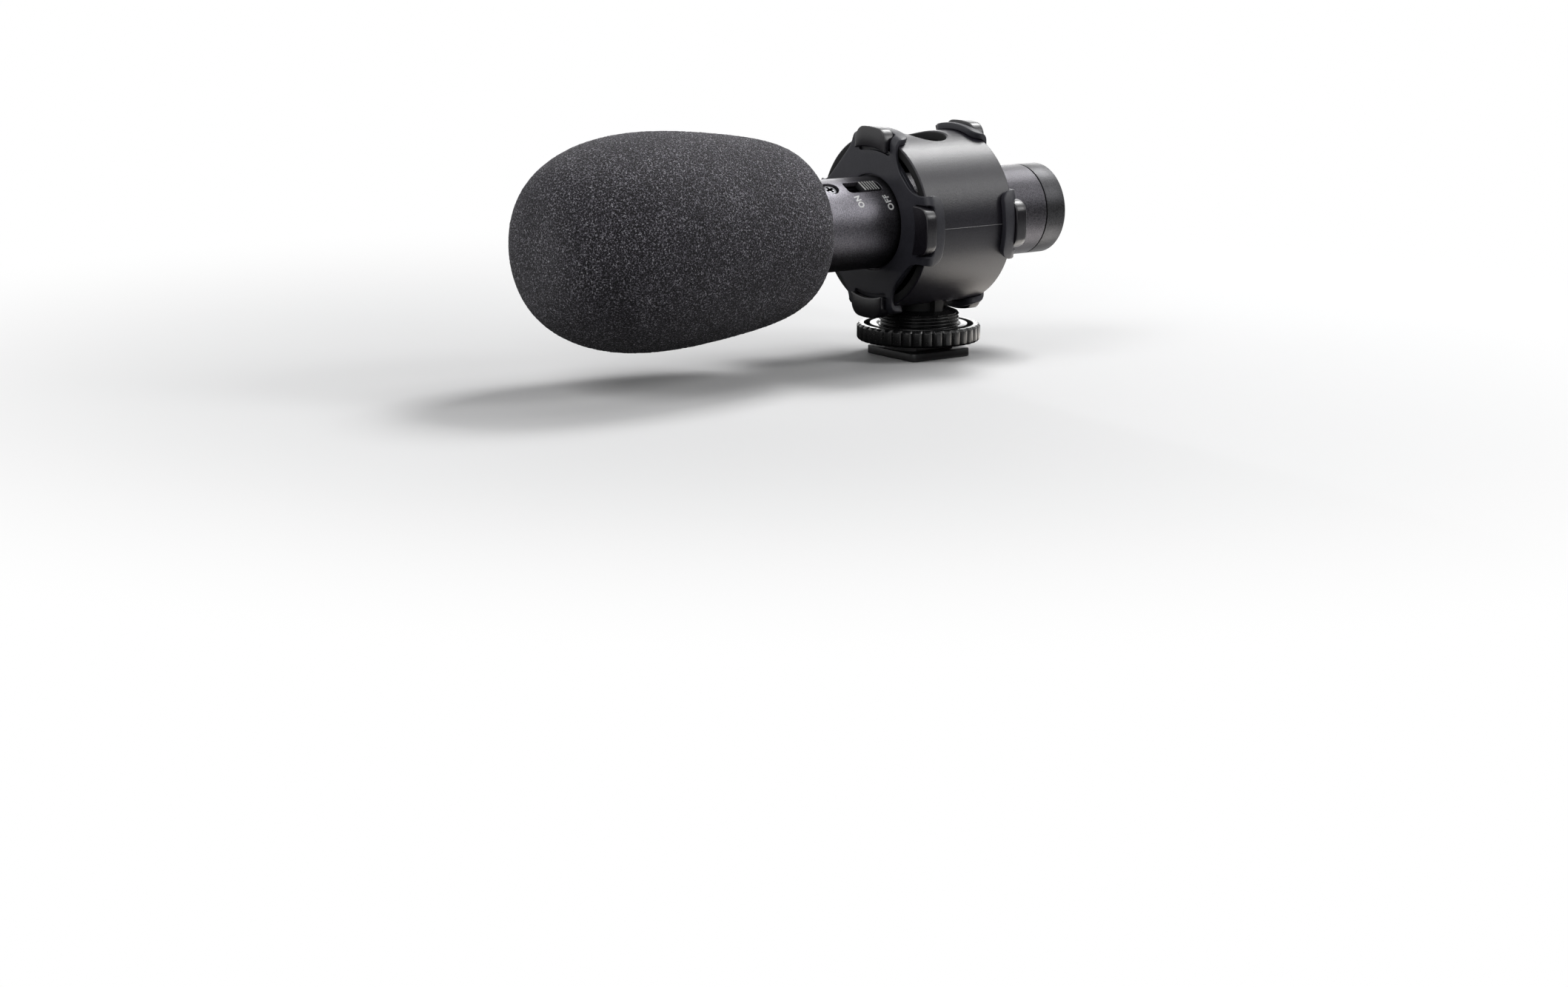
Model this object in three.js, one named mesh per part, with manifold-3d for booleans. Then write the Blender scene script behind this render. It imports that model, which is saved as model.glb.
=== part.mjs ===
// On-camera microphone: a round barrel in a foam windscreen, held by two rubber diaphragms in a
// shock-mount shell that stands on a shoe foot with a locking ring.
// Millimetres, +Z up. The origin is the centre of the shoe foot's underside. The barrel lies along Y,
// the windscreen points to -Y and the battery cap to +Y.

import * as THREE from 'three';
import { mergeVertices } from 'three/addons/utils/BufferGeometryUtils.js';
import Module from 'manifold-3d';

const wasm = await Module();
wasm.setup();

// Clearances shared by all pieces
const fitGap = 0.2;
const seatGap = 0.1;
const turnGap = 0.3;
const cutOverrun = 5;
const mergeDistance = 0.0001;

// How finely round pieces are faceted
const roundSides = 48;
const innerSides = 32;
const smallSides = 16;
const wireSides = 6;

// Shoe foot
const footWidth = 18.6;
const footLength = 18;
const footThickness = 2;
const footCorner = 1.5;
const neckWidth = 12.3;
const neckLap = 0.3;
const neckInset = 0.7;
const railSpace = 1.6;

// Foot screws
const footScrewRadius = 1.1;
const footScrewHead = 2.2;
const footScrewRecess = 0.15;
const footScrewLength = 8.2;
const footScrewShare = 0.48;
const footScrewTipRoom = 0.6;

// Threaded stud and pedestal
const threadPitch = 1;
const threadDepth = 0.55;
const threadShow = 2.5;
const studConeRise = 1.1;
const studConeInset = 1.9;
const pedestalRise = 2.4;
const pedestalRibWidth = 2.6;
const pedestalRibInset = 1.9;
const pedestalCoreInset = 3.3;

// Locking ring and its washer
const ringRadius = 15;
const ringBand = 5.4;
const ringStack = 4.2;
const ringSkirtGap = 0.2;
const ringRibs = 36;
const ringRibDepth = 0.5;
const ringChamfer = 0.45;
const ringGrooveDepth = 0.5;
const ringGrooveShares = [[0.4, 0.67]];
const washerThickness = 0.8;
const washerPlay = 0.6;
const washerInset = 1.8;

// Shock-mount shell
const shellRadius = 20.7;
const shellWall = 2.2;
const shellFront = 14.1;
const shellRear = 12;
const windowHalfWidth = 8.2;
const windowHalfLength = 5.1;

// Rubber diaphragms
const plateThickness = 0.9;
const strapThickness = 1.6;
const strapLength = 3.7;
const strapBevel = 0.5;
const earStrip = 2.3;
const earCorner = 3;
const chordReach = 16.5;
const chordEase = 3.2;

// Hooks on the shell's rims
const hookHalfWidth = 5.5;
const hookSlotGap = 0.3;
const hookProud = 0.6;
const hookRoot = 1.5;
const hookBack = 0.9;
const hookChamfer = 0.7;
const tongueReach = 2.7;
const tongueGap = 0.2;
const tongueThickness = 1.1;

// Barrel
const tubeRadius = 11;
const tubeWall = 1.1;
const ventCount = 6;
const ventHalfWidth = 1;
const ventLength = 20;
const ventSetback = 1.5;

// Switch
const switchAngle = THREE.MathUtils.degToRad(28);
const slotSetback = 0.5;
const slotLength = 9.8;
const slotHalfWidth = 1.8;
const slotCorner = 0.9;
const knobLength = 4.8;
const knobSideGap = 0.15;
const knobEndGap = 0.9;
const knobSink = 0.15;
const knobStopGap = 0.5;
const knobRidges = 5;
const knobGrooveShare = 0.45;
const knobGrooveDepth = 0.4;
const stemHalfWidth = 0.7;
const stemHalfLength = 0.9;
const stemDrop = 2.2;
const switchBodyHalfWidth = 2.6;
const switchBodyDepth = 3.2;
const switchBodyLap = 1.2;
const switchTabThickness = 0.9;
const switchTabHalfWidth = 2.2;
const switchTabLap = 2.2;
const screwSetback = 4.3;
const screwRadius = 0.9;
const screwHeadRadius = 1.75;
const screwLength = 3.4;
const crossWidth = 0.5;
const crossLengthShare = 0.62;
const crossDepth = 0.6;

// Output socket, on the far side of the barrel
const jackAngle = THREE.MathUtils.degToRad(-90);
const jackHalfWidth = 3;
const jackHalfLength = 4;
const jackDepth = 11;
const jackNeckRadius = 2.9;
const jackNeckProud = 0.4;
const jackBoreRadius = 1.8;
const jackBoreDepth = 9;
const jackNutWidth = 1.2;
const jackNutThickness = 0.8;
const jackNutNotch = 0.8;
const spotFaceDepth = 0.6;

// Windscreen
const foamRadius = 25.3;
const foamLength = 73.6;
const foamTipWall = 8.9;
const foamSetback = 5.6;
const foamGrip = 0.25;
const foamSteps = 22;
const foamSides = 40;
const foamRoundShares = [0.9963, -0.0277, 0.0048, -0.0387];
const foamBluntness = 0.441;

// Nose cap over the barrel's front end
const noseLength = 3;
const noseWall = 0.8;
const noseSkirtLength = 3;
const noseSkirtWall = 1;
const noseBevel = 0.6;
const noseHoleRadius = 0.9;
const noseHoleSpacing = 3.4;

// Capsule and its boot
const capsuleRadius = 4.9;
const capsuleLength = 6.2;
const capsulePortRadius = 1.2;
const capsulePortDepth = 0.6;
const bootGap = 0.8;
const bootLip = 0.8;
const bootRearWall = 1.8;
const bootHoleRadius = 2.4;

// Circuit board and what stands on it
const boardThickness = 1;
const boardLength = 42;
const boardSetback = 0.6;
const chipWidth = 4;
const chipLength = 5;
const chipHeight = 1.6;
const chipAlong = 9;
const couplingRadius = 2.5;
const couplingHeight = 5.6;
const couplingAlong = 18;
const supplyRadius = 2;
const supplyHeight = 5;
const capacitorAcross = 3.4;
const wireRadius = 0.45;
const wireAcross = 1.2;
const wireLap = 3;

// Battery, its holder and contacts
const batteryRadius = 5.25;
const batteryLength = 44.5;
const batteryNubRadius = 1.9;
const batteryNubLength = 1;
const bulkheadThickness = 1.8;
const holderWall = 1;
const holderFinWidth = 1.6;
const holderFins = 4;
const contactThickness = 0.3;
const springLength = 3.8;
const springWire = 0.3;
const springTurns = 3;
const springWideShare = 0.85;
const springNarrowShare = 0.55;
const springStepsPerTurn = 12;

// Rear cap and its gasket
const capLength = 6.1;
const capEndWall = 1.6;
const capSeam = 0.3;
const capSpigotLength = 4;
const capSpigotWall = 1.5;
const capBevel = 0.35;
const gasketLedge = 0.45;
const gasketThickness = 0.85;

// Heights above the foot's underside
const clampHeight = footThickness + railSpace;
const neckTop = clampHeight + neckLap;
const studBottom = neckTop + seatGap;
const ringBottom = clampHeight + ringSkirtGap;
const ringTop = clampHeight + ringStack;
const studTop = ringTop + threadShow;
const axisHeight = studTop + pedestalRise + shellRadius;

// Stud inside the ring, and the foot screws in the stud
const studRadius = ringRadius - ringBand;
const footScrewOffset = studRadius * footScrewShare;

// Radii around the barrel's axis
const tubeInner = tubeRadius - tubeWall;
const tubeFill = tubeInner - fitGap;
const shellInner = shellRadius - shellWall;
const strapInner = shellRadius + seatGap;
const strapOuter = strapInner + strapThickness;
const hookOuter = strapOuter + hookProud;
const hookInner = shellRadius - hookRoot;
const tongueInner = shellRadius - tongueReach;
const earHalfWidth = hookHalfWidth + hookSlotGap + earStrip;

// Distances out from a rim of the shell
const plateFace = seatGap + plateThickness;
const tongueBack = plateFace + tongueGap;
const hookFace = tongueBack + tongueThickness;

// Places along the barrel, from the front rim's hooks forward to the windscreen's tip
const hookFrontY = -shellFront - hookFace;
const slotRearY = hookFrontY - slotSetback;
const slotFrontY = slotRearY - slotLength;
const screwY = slotFrontY - screwSetback;
const foamRearY = screwY - foamSetback;
const foamTipY = foamRearY - foamLength;
const foamBoreEndY = foamTipY + foamTipWall;
const noseTipY = foamBoreEndY + turnGap;
const tubeFrontY = noseTipY + noseLength;
const noseSkirtEndY = tubeFrontY + noseSkirtLength;
const bootFrontY = noseSkirtEndY + bootGap;
const capsuleFrontY = bootFrontY + bootLip;
const capsuleRearY = capsuleFrontY + capsuleLength;
const bootRearY = capsuleRearY + fitGap + bootRearWall;
const jackY = (hookFrontY + foamRearY) / 2;

// Places along the barrel, from the switch back to the cap's end
const bodyRearY = slotRearY + switchBodyLap;
const bodyFrontY = slotFrontY - switchBodyLap;
const bulkheadFrontY = bodyRearY + turnGap;
const bulkheadRearY = bulkheadFrontY + bulkheadThickness;
const contactFrontY = bulkheadRearY + seatGap;
const contactRearY = contactFrontY + contactThickness;
const batteryFrontY = contactRearY + seatGap;
const batteryRearY = batteryFrontY + batteryLength;
const capInnerY = batteryRearY + springLength + 2 * seatGap;
const capEndY = capInnerY + capEndWall;
const tubeRearY = capEndY - capLength;
const spigotFrontY = tubeRearY - capSpigotLength;
const boardRearY = bulkheadFrontY - boardSetback;
const boardFrontY = boardRearY - boardLength;

// A closed geometry as a solid with its faces pointing out
function solidOf(geometry) {
  const bare = geometry.clone();
  bare.deleteAttribute('normal');
  bare.deleteAttribute('uv');
  const merged = mergeVertices(bare, mergeDistance);
  const position = merged.attributes.position.array;
  const index = merged.index.array;
  const corners = [];
  let volume = 0;
  for (let start = 0; start < index.length; start += 3) {
    const [a, b, c] = [index[start], index[start + 1], index[start + 2]];
    if (a === b || b === c || c === a) continue;
    corners.push(a, b, c);
    const [pointA, pointB, pointC] = [a, b, c].map((at) => new THREE.Vector3().fromArray(position, at * 3));
    volume += pointA.dot(pointB.cross(pointC));
  }
  const triVerts = new Uint32Array(volume < 0 ? corners.reverse() : corners);
  return new wasm.Manifold(new wasm.Mesh({ numProp: 3, vertProperties: new Float32Array(position), triVerts }));
}

function geometryOf(solid) {
  const mesh = solid.getMesh();
  const indexed = new THREE.BufferGeometry();
  indexed.setAttribute('position', new THREE.BufferAttribute(mesh.vertProperties, 3));
  indexed.setIndex(new THREE.BufferAttribute(mesh.triVerts, 1));
  const geometry = indexed.toNonIndexed();
  geometry.computeVertexNormals();
  return geometry;
}

function join(...geometries) {
  return geometryOf(geometries.map(solidOf).reduce((sum, solid) => sum.add(solid)));
}

function cut(base, ...cutters) {
  return geometryOf(cutters.map(solidOf).reduce((rest, cutter) => rest.subtract(cutter), solidOf(base)));
}

function common(...geometries) {
  return geometryOf(geometries.map(solidOf).reduce((shared, solid) => shared.intersect(solid)));
}

// Geometry that every piece is made of
function turned(profile, sides = roundSides) {
  return new THREE.LatheGeometry(profile.map(([radius, along]) => new THREE.Vector2(radius, along)), sides);
}

function turnedUp(profile, sides = roundSides) {
  return turned(profile, sides).rotateX(Math.PI / 2);
}

function hollowProfile(inner, outer, low, high) {
  return [[inner, low], [outer, low], [outer, high], [inner, high], [inner, low]];
}

function diskProfile(radius, low, high) {
  return [[0, low], [radius, low], [radius, high], [0, high]];
}

function block(xLow, xHigh, yLow, yHigh, zLow, zHigh) {
  const box = new THREE.BoxGeometry(xHigh - xLow, yHigh - yLow, zHigh - zLow);
  return box.translate((xLow + xHigh) / 2, (yLow + yHigh) / 2, (zLow + zHigh) / 2);
}

function pinUp(radius, zLow, zHigh, x, y, sides = smallSides) {
  return turnedUp(diskProfile(radius, zLow, zHigh), sides).translate(x, y, 0);
}

function pinAlong(radius, yLow, yHigh, x, z, sides = smallSides) {
  return turned(diskProfile(radius, yLow, yHigh), sides).translate(x, 0, z);
}

function prismUp(shape, zLow, zHigh, curveSegments = 3) {
  const settings = { depth: zHigh - zLow, bevelEnabled: false, curveSegments };
  return new THREE.ExtrudeGeometry(shape, settings).translate(0, 0, zLow);
}

function prismAlong(shape, yLow, yHigh, curveSegments = 4) {
  const settings = { depth: yHigh - yLow, bevelEnabled: false, curveSegments };
  return new THREE.ExtrudeGeometry(shape, settings).rotateX(Math.PI / 2).translate(0, yHigh, 0);
}

function roundedRectangle(xLow, xHigh, yLow, yHigh, corner) {
  const radius = Math.min(corner, (xHigh - xLow) / 2, (yHigh - yLow) / 2);
  const shape = new THREE.Shape();
  shape.absarc(xHigh - radius, yLow + radius, radius, -Math.PI / 2, 0);
  shape.absarc(xHigh - radius, yHigh - radius, radius, 0, Math.PI / 2);
  shape.absarc(xLow + radius, yHigh - radius, radius, Math.PI / 2, Math.PI);
  shape.absarc(xLow + radius, yLow + radius, radius, Math.PI, Math.PI * 1.5);
  shape.closePath();
  return shape;
}

function wireAlong(curve, radius, steps) {
  const section = new THREE.Shape();
  section.absarc(0, 0, radius, 0, Math.PI * 2);
  const settings = { steps, curveSegments: wireSides / 2, extrudePath: curve, bevelEnabled: false };
  return new THREE.ExtrudeGeometry(section, settings);
}

// The four places around the barrel's axis that hold an ear and a hook
function aroundFour(geometry) {
  return [0, 1, 2, 3].map((quarter) => geometry.clone().rotateY(quarter * Math.PI / 2));
}

const part = new THREE.Group();
const microphone = new THREE.Group();
microphone.position.z = axisHeight;
part.add(microphone);

const switchTurn = new THREE.Group();
switchTurn.rotation.y = switchAngle;
microphone.add(switchTurn);

const jackTurn = new THREE.Group();
jackTurn.rotation.y = jackAngle;
microphone.add(jackTurn);

function addPiece(parent, name, geometry, color, roughness, metalness) {
  const mesh = new THREE.Mesh(geometry, new THREE.MeshStandardMaterial({ color, roughness, metalness }));
  mesh.name = name;
  parent.add(mesh);
}

// Shoe foot: plate, neck between the shoe's rails, countersunk screws from below
function footScrewHoles() {
  const head = footScrewHead + fitGap;
  const shank = footScrewRadius + fitGap;
  const sinkTop = footScrewRecess + footScrewHead - footScrewRadius;
  const profile = [
    [0, -cutOverrun], [head, -cutOverrun], [head, footScrewRecess],
    [shank, sinkTop], [shank, neckTop + cutOverrun], [0, neckTop + cutOverrun],
  ];
  return [-1, 1].map((side) => turnedUp(profile, smallSides).translate(0, side * footScrewOffset, 0));
}

function shoeFoot() {
  const halfWidth = footWidth / 2;
  const halfLength = footLength / 2;
  const outline = roundedRectangle(-halfWidth, halfWidth, -halfLength, halfLength, footCorner);
  const plate = prismUp(outline, 0, footThickness);
  const neckRadius = Math.min(studRadius - fitGap, halfLength - neckInset);
  const neckRound = pinUp(neckRadius, footThickness / 2, neckTop, 0, 0, innerSides);
  const neckSlab = block(-neckWidth / 2, neckWidth / 2, -footLength, footLength, 0, neckTop + cutOverrun);
  return cut(join(plate, common(neckRound, neckSlab)), ...footScrewHoles());
}

function footScrew(side) {
  const sinkTop = footScrewRecess + footScrewHead - footScrewRadius;
  const profile = [
    [0, footScrewRecess], [footScrewHead, footScrewRecess], [footScrewRadius, sinkTop],
    [footScrewRadius, footScrewLength], [0, footScrewLength],
  ];
  const cross = crossCut(footScrewHead, footScrewRecess - cutOverrun, footScrewRecess + crossDepth);
  return cut(turnedUp(profile, smallSides), ...cross).translate(0, side * footScrewOffset, 0);
}

// A cross recess for a screw head, as two bars between two heights
function crossCut(headRadius, low, high) {
  const reach = headRadius * crossLengthShare;
  const half = crossWidth / 2;
  return [block(-reach, reach, -half, half, low, high), block(-half, half, -reach, reach, low, high)];
}

addPiece(part, 'shoe_foot', shoeFoot(), 0x1b1b1c, 0.4, 0.6);
addPiece(part, 'foot_screw_front', footScrew(-1), 0x9a9a9c, 0.3, 1);
addPiece(part, 'foot_screw_rear', footScrew(1), 0x9a9a9c, 0.3, 1);

// Mount body: shell with a window, hooks on both rims, pedestal and threaded stud in one moulding
function hooks(rimY, outward) {
  const along = (distance) => rimY + outward * distance;
  const ring = turned([
    [tongueInner, along(hookFace)], [hookOuter - hookChamfer, along(hookFace)],
    [hookOuter, along(hookFace - hookChamfer)], [hookOuter, along(-hookBack)],
    [hookInner, along(-hookBack)], [hookInner, along(tongueBack)],
    [tongueInner, along(tongueBack)], [tongueInner, along(hookFace)],
  ]);
  const far = hookOuter + cutOverrun;
  const yLow = Math.min(along(-hookBack), along(hookFace)) - cutOverrun;
  const yHigh = Math.max(along(-hookBack), along(hookFace)) + cutOverrun;
  const pillar = block(-hookHalfWidth, hookHalfWidth, yLow, yHigh, -far, far);
  return common(ring, join(pillar, pillar.clone().rotateY(Math.PI / 2)));
}

function threadedStud() {
  const root = studRadius - threadDepth;
  const turns = Math.max(1, Math.floor((studTop - studBottom) / threadPitch));
  const pitch = (studTop - studBottom) / turns;
  const profile = [[0, studBottom], [root, studBottom]];
  for (let turn = 0; turn < turns; turn += 1) {
    profile.push([studRadius, studBottom + (turn + 0.5) * pitch]);
    profile.push([root, studBottom + (turn + 1) * pitch]);
  }
  profile.push([studRadius - studConeInset, studTop + studConeRise], [0, studTop + studConeRise]);
  return turnedUp(profile);
}

function pedestal() {
  const low = studTop - threadDepth;
  const reach = studRadius - pedestalRibInset;
  const half = pedestalRibWidth / 2;
  const core = pinUp(studRadius - pedestalCoreInset, low, axisHeight, 0, 0, innerSides);
  const ribs = join(
    block(-reach, reach, -half, half, low, axisHeight),
    block(-half, half, -reach, reach, low, axisHeight),
  );
  return join(core, common(ribs, pinUp(reach, low, axisHeight, 0, 0, innerSides)));
}

function mountBody() {
  const shell = turned(hollowProfile(shellInner, shellRadius, -shellFront, shellRear));
  const bore = turned(diskProfile(shellInner, -shellFront - cutOverrun, shellRear + cutOverrun));
  const outline = roundedRectangle(
    -windowHalfWidth, windowHalfWidth, -windowHalfLength, windowHalfLength, windowHalfLength);
  const window = prismUp(outline, tubeRadius, shellRadius + cutOverrun);
  const standing = cut(join(threadedStud(), pedestal()), bore.translate(0, 0, axisHeight));
  const raised = join(shell, hooks(-shellFront, -1), hooks(shellRear, 1));
  const body = join(cut(raised, window).translate(0, 0, axisHeight), standing);
  const pilotTop = footScrewLength + footScrewTipRoom;
  const pilots = [-1, 1].map((side) => pinUp(
    footScrewRadius + fitGap, studBottom - cutOverrun, pilotTop, 0, side * footScrewOffset));
  return cut(body, ...pilots);
}

addPiece(part, 'mount_body', mountBody(), 0x2a2a2c, 0.5, 0);

// Rubber diaphragm: a plate on the rim with four slotted ears folded back onto the shell
function diaphragmOutline(reach) {
  const corner = chordReach * Math.SQRT2 - earHalfWidth;
  const slant = chordEase * Math.SQRT1_2;
  const shape = new THREE.Shape();
  for (let quarter = 0; quarter < 4; quarter += 1) {
    const cosine = Math.cos(quarter * Math.PI / 2);
    const sine = Math.sin(quarter * Math.PI / 2);
    const turn = (x, y) => [x * cosine + y * sine, y * cosine - x * sine];
    if (quarter === 0) shape.moveTo(...turn(earHalfWidth, reach));
    else shape.lineTo(...turn(earHalfWidth, reach));
    shape.lineTo(...turn(earHalfWidth, corner + chordEase));
    shape.quadraticCurveTo(...turn(earHalfWidth, corner), ...turn(earHalfWidth + slant, corner - slant));
    shape.lineTo(...turn(corner - slant, earHalfWidth + slant));
    shape.quadraticCurveTo(...turn(corner, earHalfWidth), ...turn(corner + chordEase, earHalfWidth));
    shape.lineTo(...turn(reach, earHalfWidth));
  }
  shape.closePath();
  return shape;
}

function diaphragm(rimY, outward) {
  const along = (distance) => rimY + outward * distance;
  const span = (from, to) => [Math.min(along(from), along(to)), Math.max(along(from), along(to))];
  const bore = tubeRadius + fitGap;
  const far = strapOuter + cutOverrun;
  const ring = turned([
    [bore, along(plateFace)], [strapOuter - strapBevel, along(plateFace)],
    [strapOuter, along(plateFace - strapBevel)], [strapOuter, along(-strapLength)],
    [strapInner, along(-strapLength)], [strapInner, along(seatGap)],
    [bore, along(seatGap)], [bore, along(plateFace)],
  ]);
  const [earLow, earHigh] = span(-strapLength, plateFace + cutOverrun);
  const earShape = roundedRectangle(-earHalfWidth, earHalfWidth, earLow, earHigh, earCorner);
  const ear = prismUp(earShape, -far, far);
  const [plateLow, plateHigh] = span(seatGap, plateFace + seatGap);
  const plate = block(-far, far, plateLow, plateHigh, -far, far);
  const mask = join(ear, ear.clone().rotateY(Math.PI / 2), plate);
  const [outlineLow, outlineHigh] = span(-strapLength - cutOverrun, plateFace + cutOverrun);
  const outline = prismAlong(diaphragmOutline(far), outlineLow, outlineHigh);
  const [slotLow, slotHigh] = span(-hookBack - hookSlotGap, plateFace + cutOverrun);
  const slotHalf = hookHalfWidth + hookSlotGap;
  const slotInner = Math.sqrt(hookInner ** 2 - hookHalfWidth ** 2) - hookSlotGap;
  const slot = block(-slotHalf, slotHalf, slotLow, slotHigh, slotInner, far);
  return cut(common(ring, mask, outline), ...aroundFour(slot));
}

addPiece(microphone, 'front_diaphragm', diaphragm(-shellFront, -1), 0x232325, 0.7, 0);
addPiece(microphone, 'rear_diaphragm', diaphragm(shellRear, 1), 0x232325, 0.7, 0);

// Locking ring with broad ribs, on a washer that presses on the shoe's rails
function lockRing() {
  const shape = new THREE.Shape();
  const pointsPerRib = 4;
  const count = ringRibs * pointsPerRib;
  for (let point = 0; point < count; point += 1) {
    const angle = point / count * Math.PI * 2;
    const valley = 0.5 + 0.5 * Math.cos(ringRibs * angle);
    const radius = ringRadius - ringRibDepth * valley * valley;
    const [x, y] = [radius * Math.cos(angle), radius * Math.sin(angle)];
    if (point === 0) shape.moveTo(x, y);
    else shape.lineTo(x, y);
  }
  shape.closePath();
  const bevel = ringRadius - ringChamfer;
  const envelope = turnedUp([
    [0, ringBottom], [bevel, ringBottom], [ringRadius, ringBottom + ringChamfer],
    [ringRadius, ringTop - ringChamfer], [bevel, ringTop], [0, ringTop],
  ]);
  const boreRadius = studRadius + turnGap;
  const bore = pinUp(boreRadius, ringBottom - cutOverrun, ringTop + cutOverrun, 0, 0, roundSides);
  const recessRadius = ringRadius - washerInset + turnGap;
  const recessTop = clampHeight + washerThickness + seatGap;
  const recess = pinUp(recessRadius, ringBottom - cutOverrun, recessTop, 0, 0, roundSides);
  const grooves = ringGrooveShares.map(([from, to]) => {
    const inner = boreRadius + from * (ringRadius - boreRadius);
    const outer = boreRadius + to * (ringRadius - boreRadius);
    return turnedUp(hollowProfile(inner, outer, ringTop - ringGrooveDepth, ringTop + cutOverrun));
  });
  return cut(common(prismUp(shape, ringBottom, ringTop), envelope), bore, recess, ...grooves);
}

function ringWasher() {
  const high = clampHeight + washerThickness;
  return join(turnedUp(hollowProfile(studRadius + washerPlay, ringRadius - washerInset, clampHeight, high)));
}

addPiece(part, 'lock_ring', lockRing(), 0x161617, 0.25, 0);
addPiece(part, 'ring_washer', ringWasher(), 0x2c2c2e, 0.6, 0);

// Barrel: tube with vents near the capsule, switch slot, screw hole and socket hole
function ventSlots() {
  const low = bootRearY + ventSetback;
  const outline = roundedRectangle(-ventHalfWidth, ventHalfWidth, low, low + ventLength, ventHalfWidth);
  const slot = prismUp(outline, tubeInner / 2, tubeRadius + cutOverrun, 2);
  return Array.from({ length: ventCount }, (_, vent) => slot.clone().rotateY(vent / ventCount * Math.PI * 2));
}

const switchTop = Math.sqrt((tubeInner - turnGap) ** 2 - switchBodyHalfWidth ** 2);
const jackTop = Math.sqrt((tubeInner - turnGap) ** 2 - jackHalfWidth ** 2);

function micTube() {
  const gasketSeat = tubeInner + gasketLedge;
  const gasketSeatY = tubeRearY - gasketThickness - seatGap;
  const tube = turned([
    [tubeInner, tubeFrontY], [tubeRadius, tubeFrontY], [tubeRadius, tubeRearY],
    [gasketSeat, tubeRearY], [gasketSeat, gasketSeatY], [tubeInner, gasketSeatY], [tubeInner, tubeFrontY],
  ]);
  const slotShape = roundedRectangle(-slotHalfWidth, slotHalfWidth, slotFrontY, slotRearY, slotCorner);
  const slot = prismUp(slotShape, tubeInner / 2, tubeRadius + cutOverrun, 2).rotateY(switchAngle);
  const head = screwHeadRadius + fitGap;
  const shank = screwRadius + fitGap;
  const sinkLow = tubeRadius - seatGap - (screwHeadRadius - screwRadius);
  const screwHole = turnedUp([
    [0, tubeInner / 2], [shank, tubeInner / 2], [shank, sinkLow], [head, tubeRadius - seatGap],
    [head, tubeRadius + cutOverrun], [0, tubeRadius + cutOverrun],
  ], smallSides).translate(0, screwY, 0).rotateY(switchAngle);
  const socketHole = pinUp(
    jackNeckRadius + fitGap, tubeInner / 2, tubeRadius + cutOverrun, 0, jackY, innerSides);
  const spotFace = pinUp(
    jackNeckRadius + fitGap + jackNutWidth + turnGap, tubeRadius - spotFaceDepth,
    tubeRadius + cutOverrun, 0, jackY, innerSides);
  return cut(
    tube, slot, screwHole, socketHole.rotateY(jackAngle), spotFace.rotateY(jackAngle), ...ventSlots());
}

addPiece(microphone, 'mic_tube', micTube(), 0x2d2d30, 0.45, 0.7);

// Switch: sliding knob in the slot, body below it, one screw in front
const knobRearY = slotRearY - knobEndGap;
const knobFrontY = knobRearY - knobLength;
const knobMiddleY = (knobRearY + knobFrontY) / 2;
const switchTravel = knobFrontY - slotFrontY - knobStopGap;
const knobBottom = switchTop + fitGap;

function switchKnob() {
  const halfWidth = slotHalfWidth - knobSideGap;
  const top = tubeRadius - knobSink;
  const cap = block(-halfWidth, halfWidth, knobFrontY, knobRearY, knobBottom, top);
  const stem = block(
    -stemHalfWidth, stemHalfWidth, knobMiddleY - stemHalfLength, knobMiddleY + stemHalfLength,
    switchTop - stemDrop, knobBottom + knobGrooveDepth);
  const step = knobLength / knobRidges;
  const grooves = Array.from({ length: knobRidges - 1 }, (_, groove) => {
    const middle = knobFrontY + (groove + 1) * step;
    const half = step * knobGrooveShare / 2;
    return block(-slotHalfWidth, slotHalfWidth, middle - half, middle + half, top - knobGrooveDepth, tubeRadius);
  });
  return cut(join(cap, stem), ...grooves);
}

function switchBody() {
  const bottom = switchTop - switchBodyDepth;
  const body = block(-switchBodyHalfWidth, switchBodyHalfWidth, bodyFrontY, bodyRearY, bottom, switchTop);
  const tab = block(
    -switchTabHalfWidth, switchTabHalfWidth, screwY - switchTabLap, bodyFrontY + switchTabLap,
    switchTop - switchTabThickness, switchTop);
  const channelHalf = stemHalfWidth + fitGap;
  const channel = block(
    -channelHalf, channelHalf, knobMiddleY - stemHalfLength - switchTravel - fitGap,
    knobMiddleY + stemHalfLength + fitGap, switchTop - stemDrop - fitGap, switchTop + cutOverrun);
  const screwHole = pinUp(screwRadius + fitGap, bottom - cutOverrun, switchTop + cutOverrun, 0, screwY);
  return cut(join(body, tab), channel, screwHole);
}

function switchScrew() {
  const top = tubeRadius - seatGap;
  const headLow = top - (screwHeadRadius - screwRadius);
  const profile = [
    [0, top - screwLength], [screwRadius, top - screwLength], [screwRadius, headLow],
    [screwHeadRadius, top], [0, top],
  ];
  const cross = crossCut(screwHeadRadius, top - crossDepth, top + cutOverrun);
  return cut(turnedUp(profile, smallSides), ...cross).translate(0, screwY, 0);
}

addPiece(switchTurn, 'switch_knob', switchKnob(), 0x3a3a3c, 0.5, 0);
addPiece(switchTurn, 'switch_body', switchBody(), 0x8c8c90, 0.4, 0.8);
addPiece(switchTurn, 'switch_screw', switchScrew(), 0x1a1a1b, 0.35, 1);

// Output socket with its round nut on a spot face
function jackSocket() {
  const neckTopZ = tubeRadius + jackNeckProud;
  const body = block(
    -jackHalfWidth, jackHalfWidth, jackY - jackHalfLength, jackY + jackHalfLength, jackTop - jackDepth, jackTop);
  const neck = pinUp(jackNeckRadius, jackTop - jackNeckRadius, neckTopZ, 0, jackY, innerSides);
  const bore = pinUp(jackBoreRadius, neckTopZ - jackBoreDepth, neckTopZ + cutOverrun, 0, jackY);
  return cut(join(body, neck), bore);
}

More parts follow.
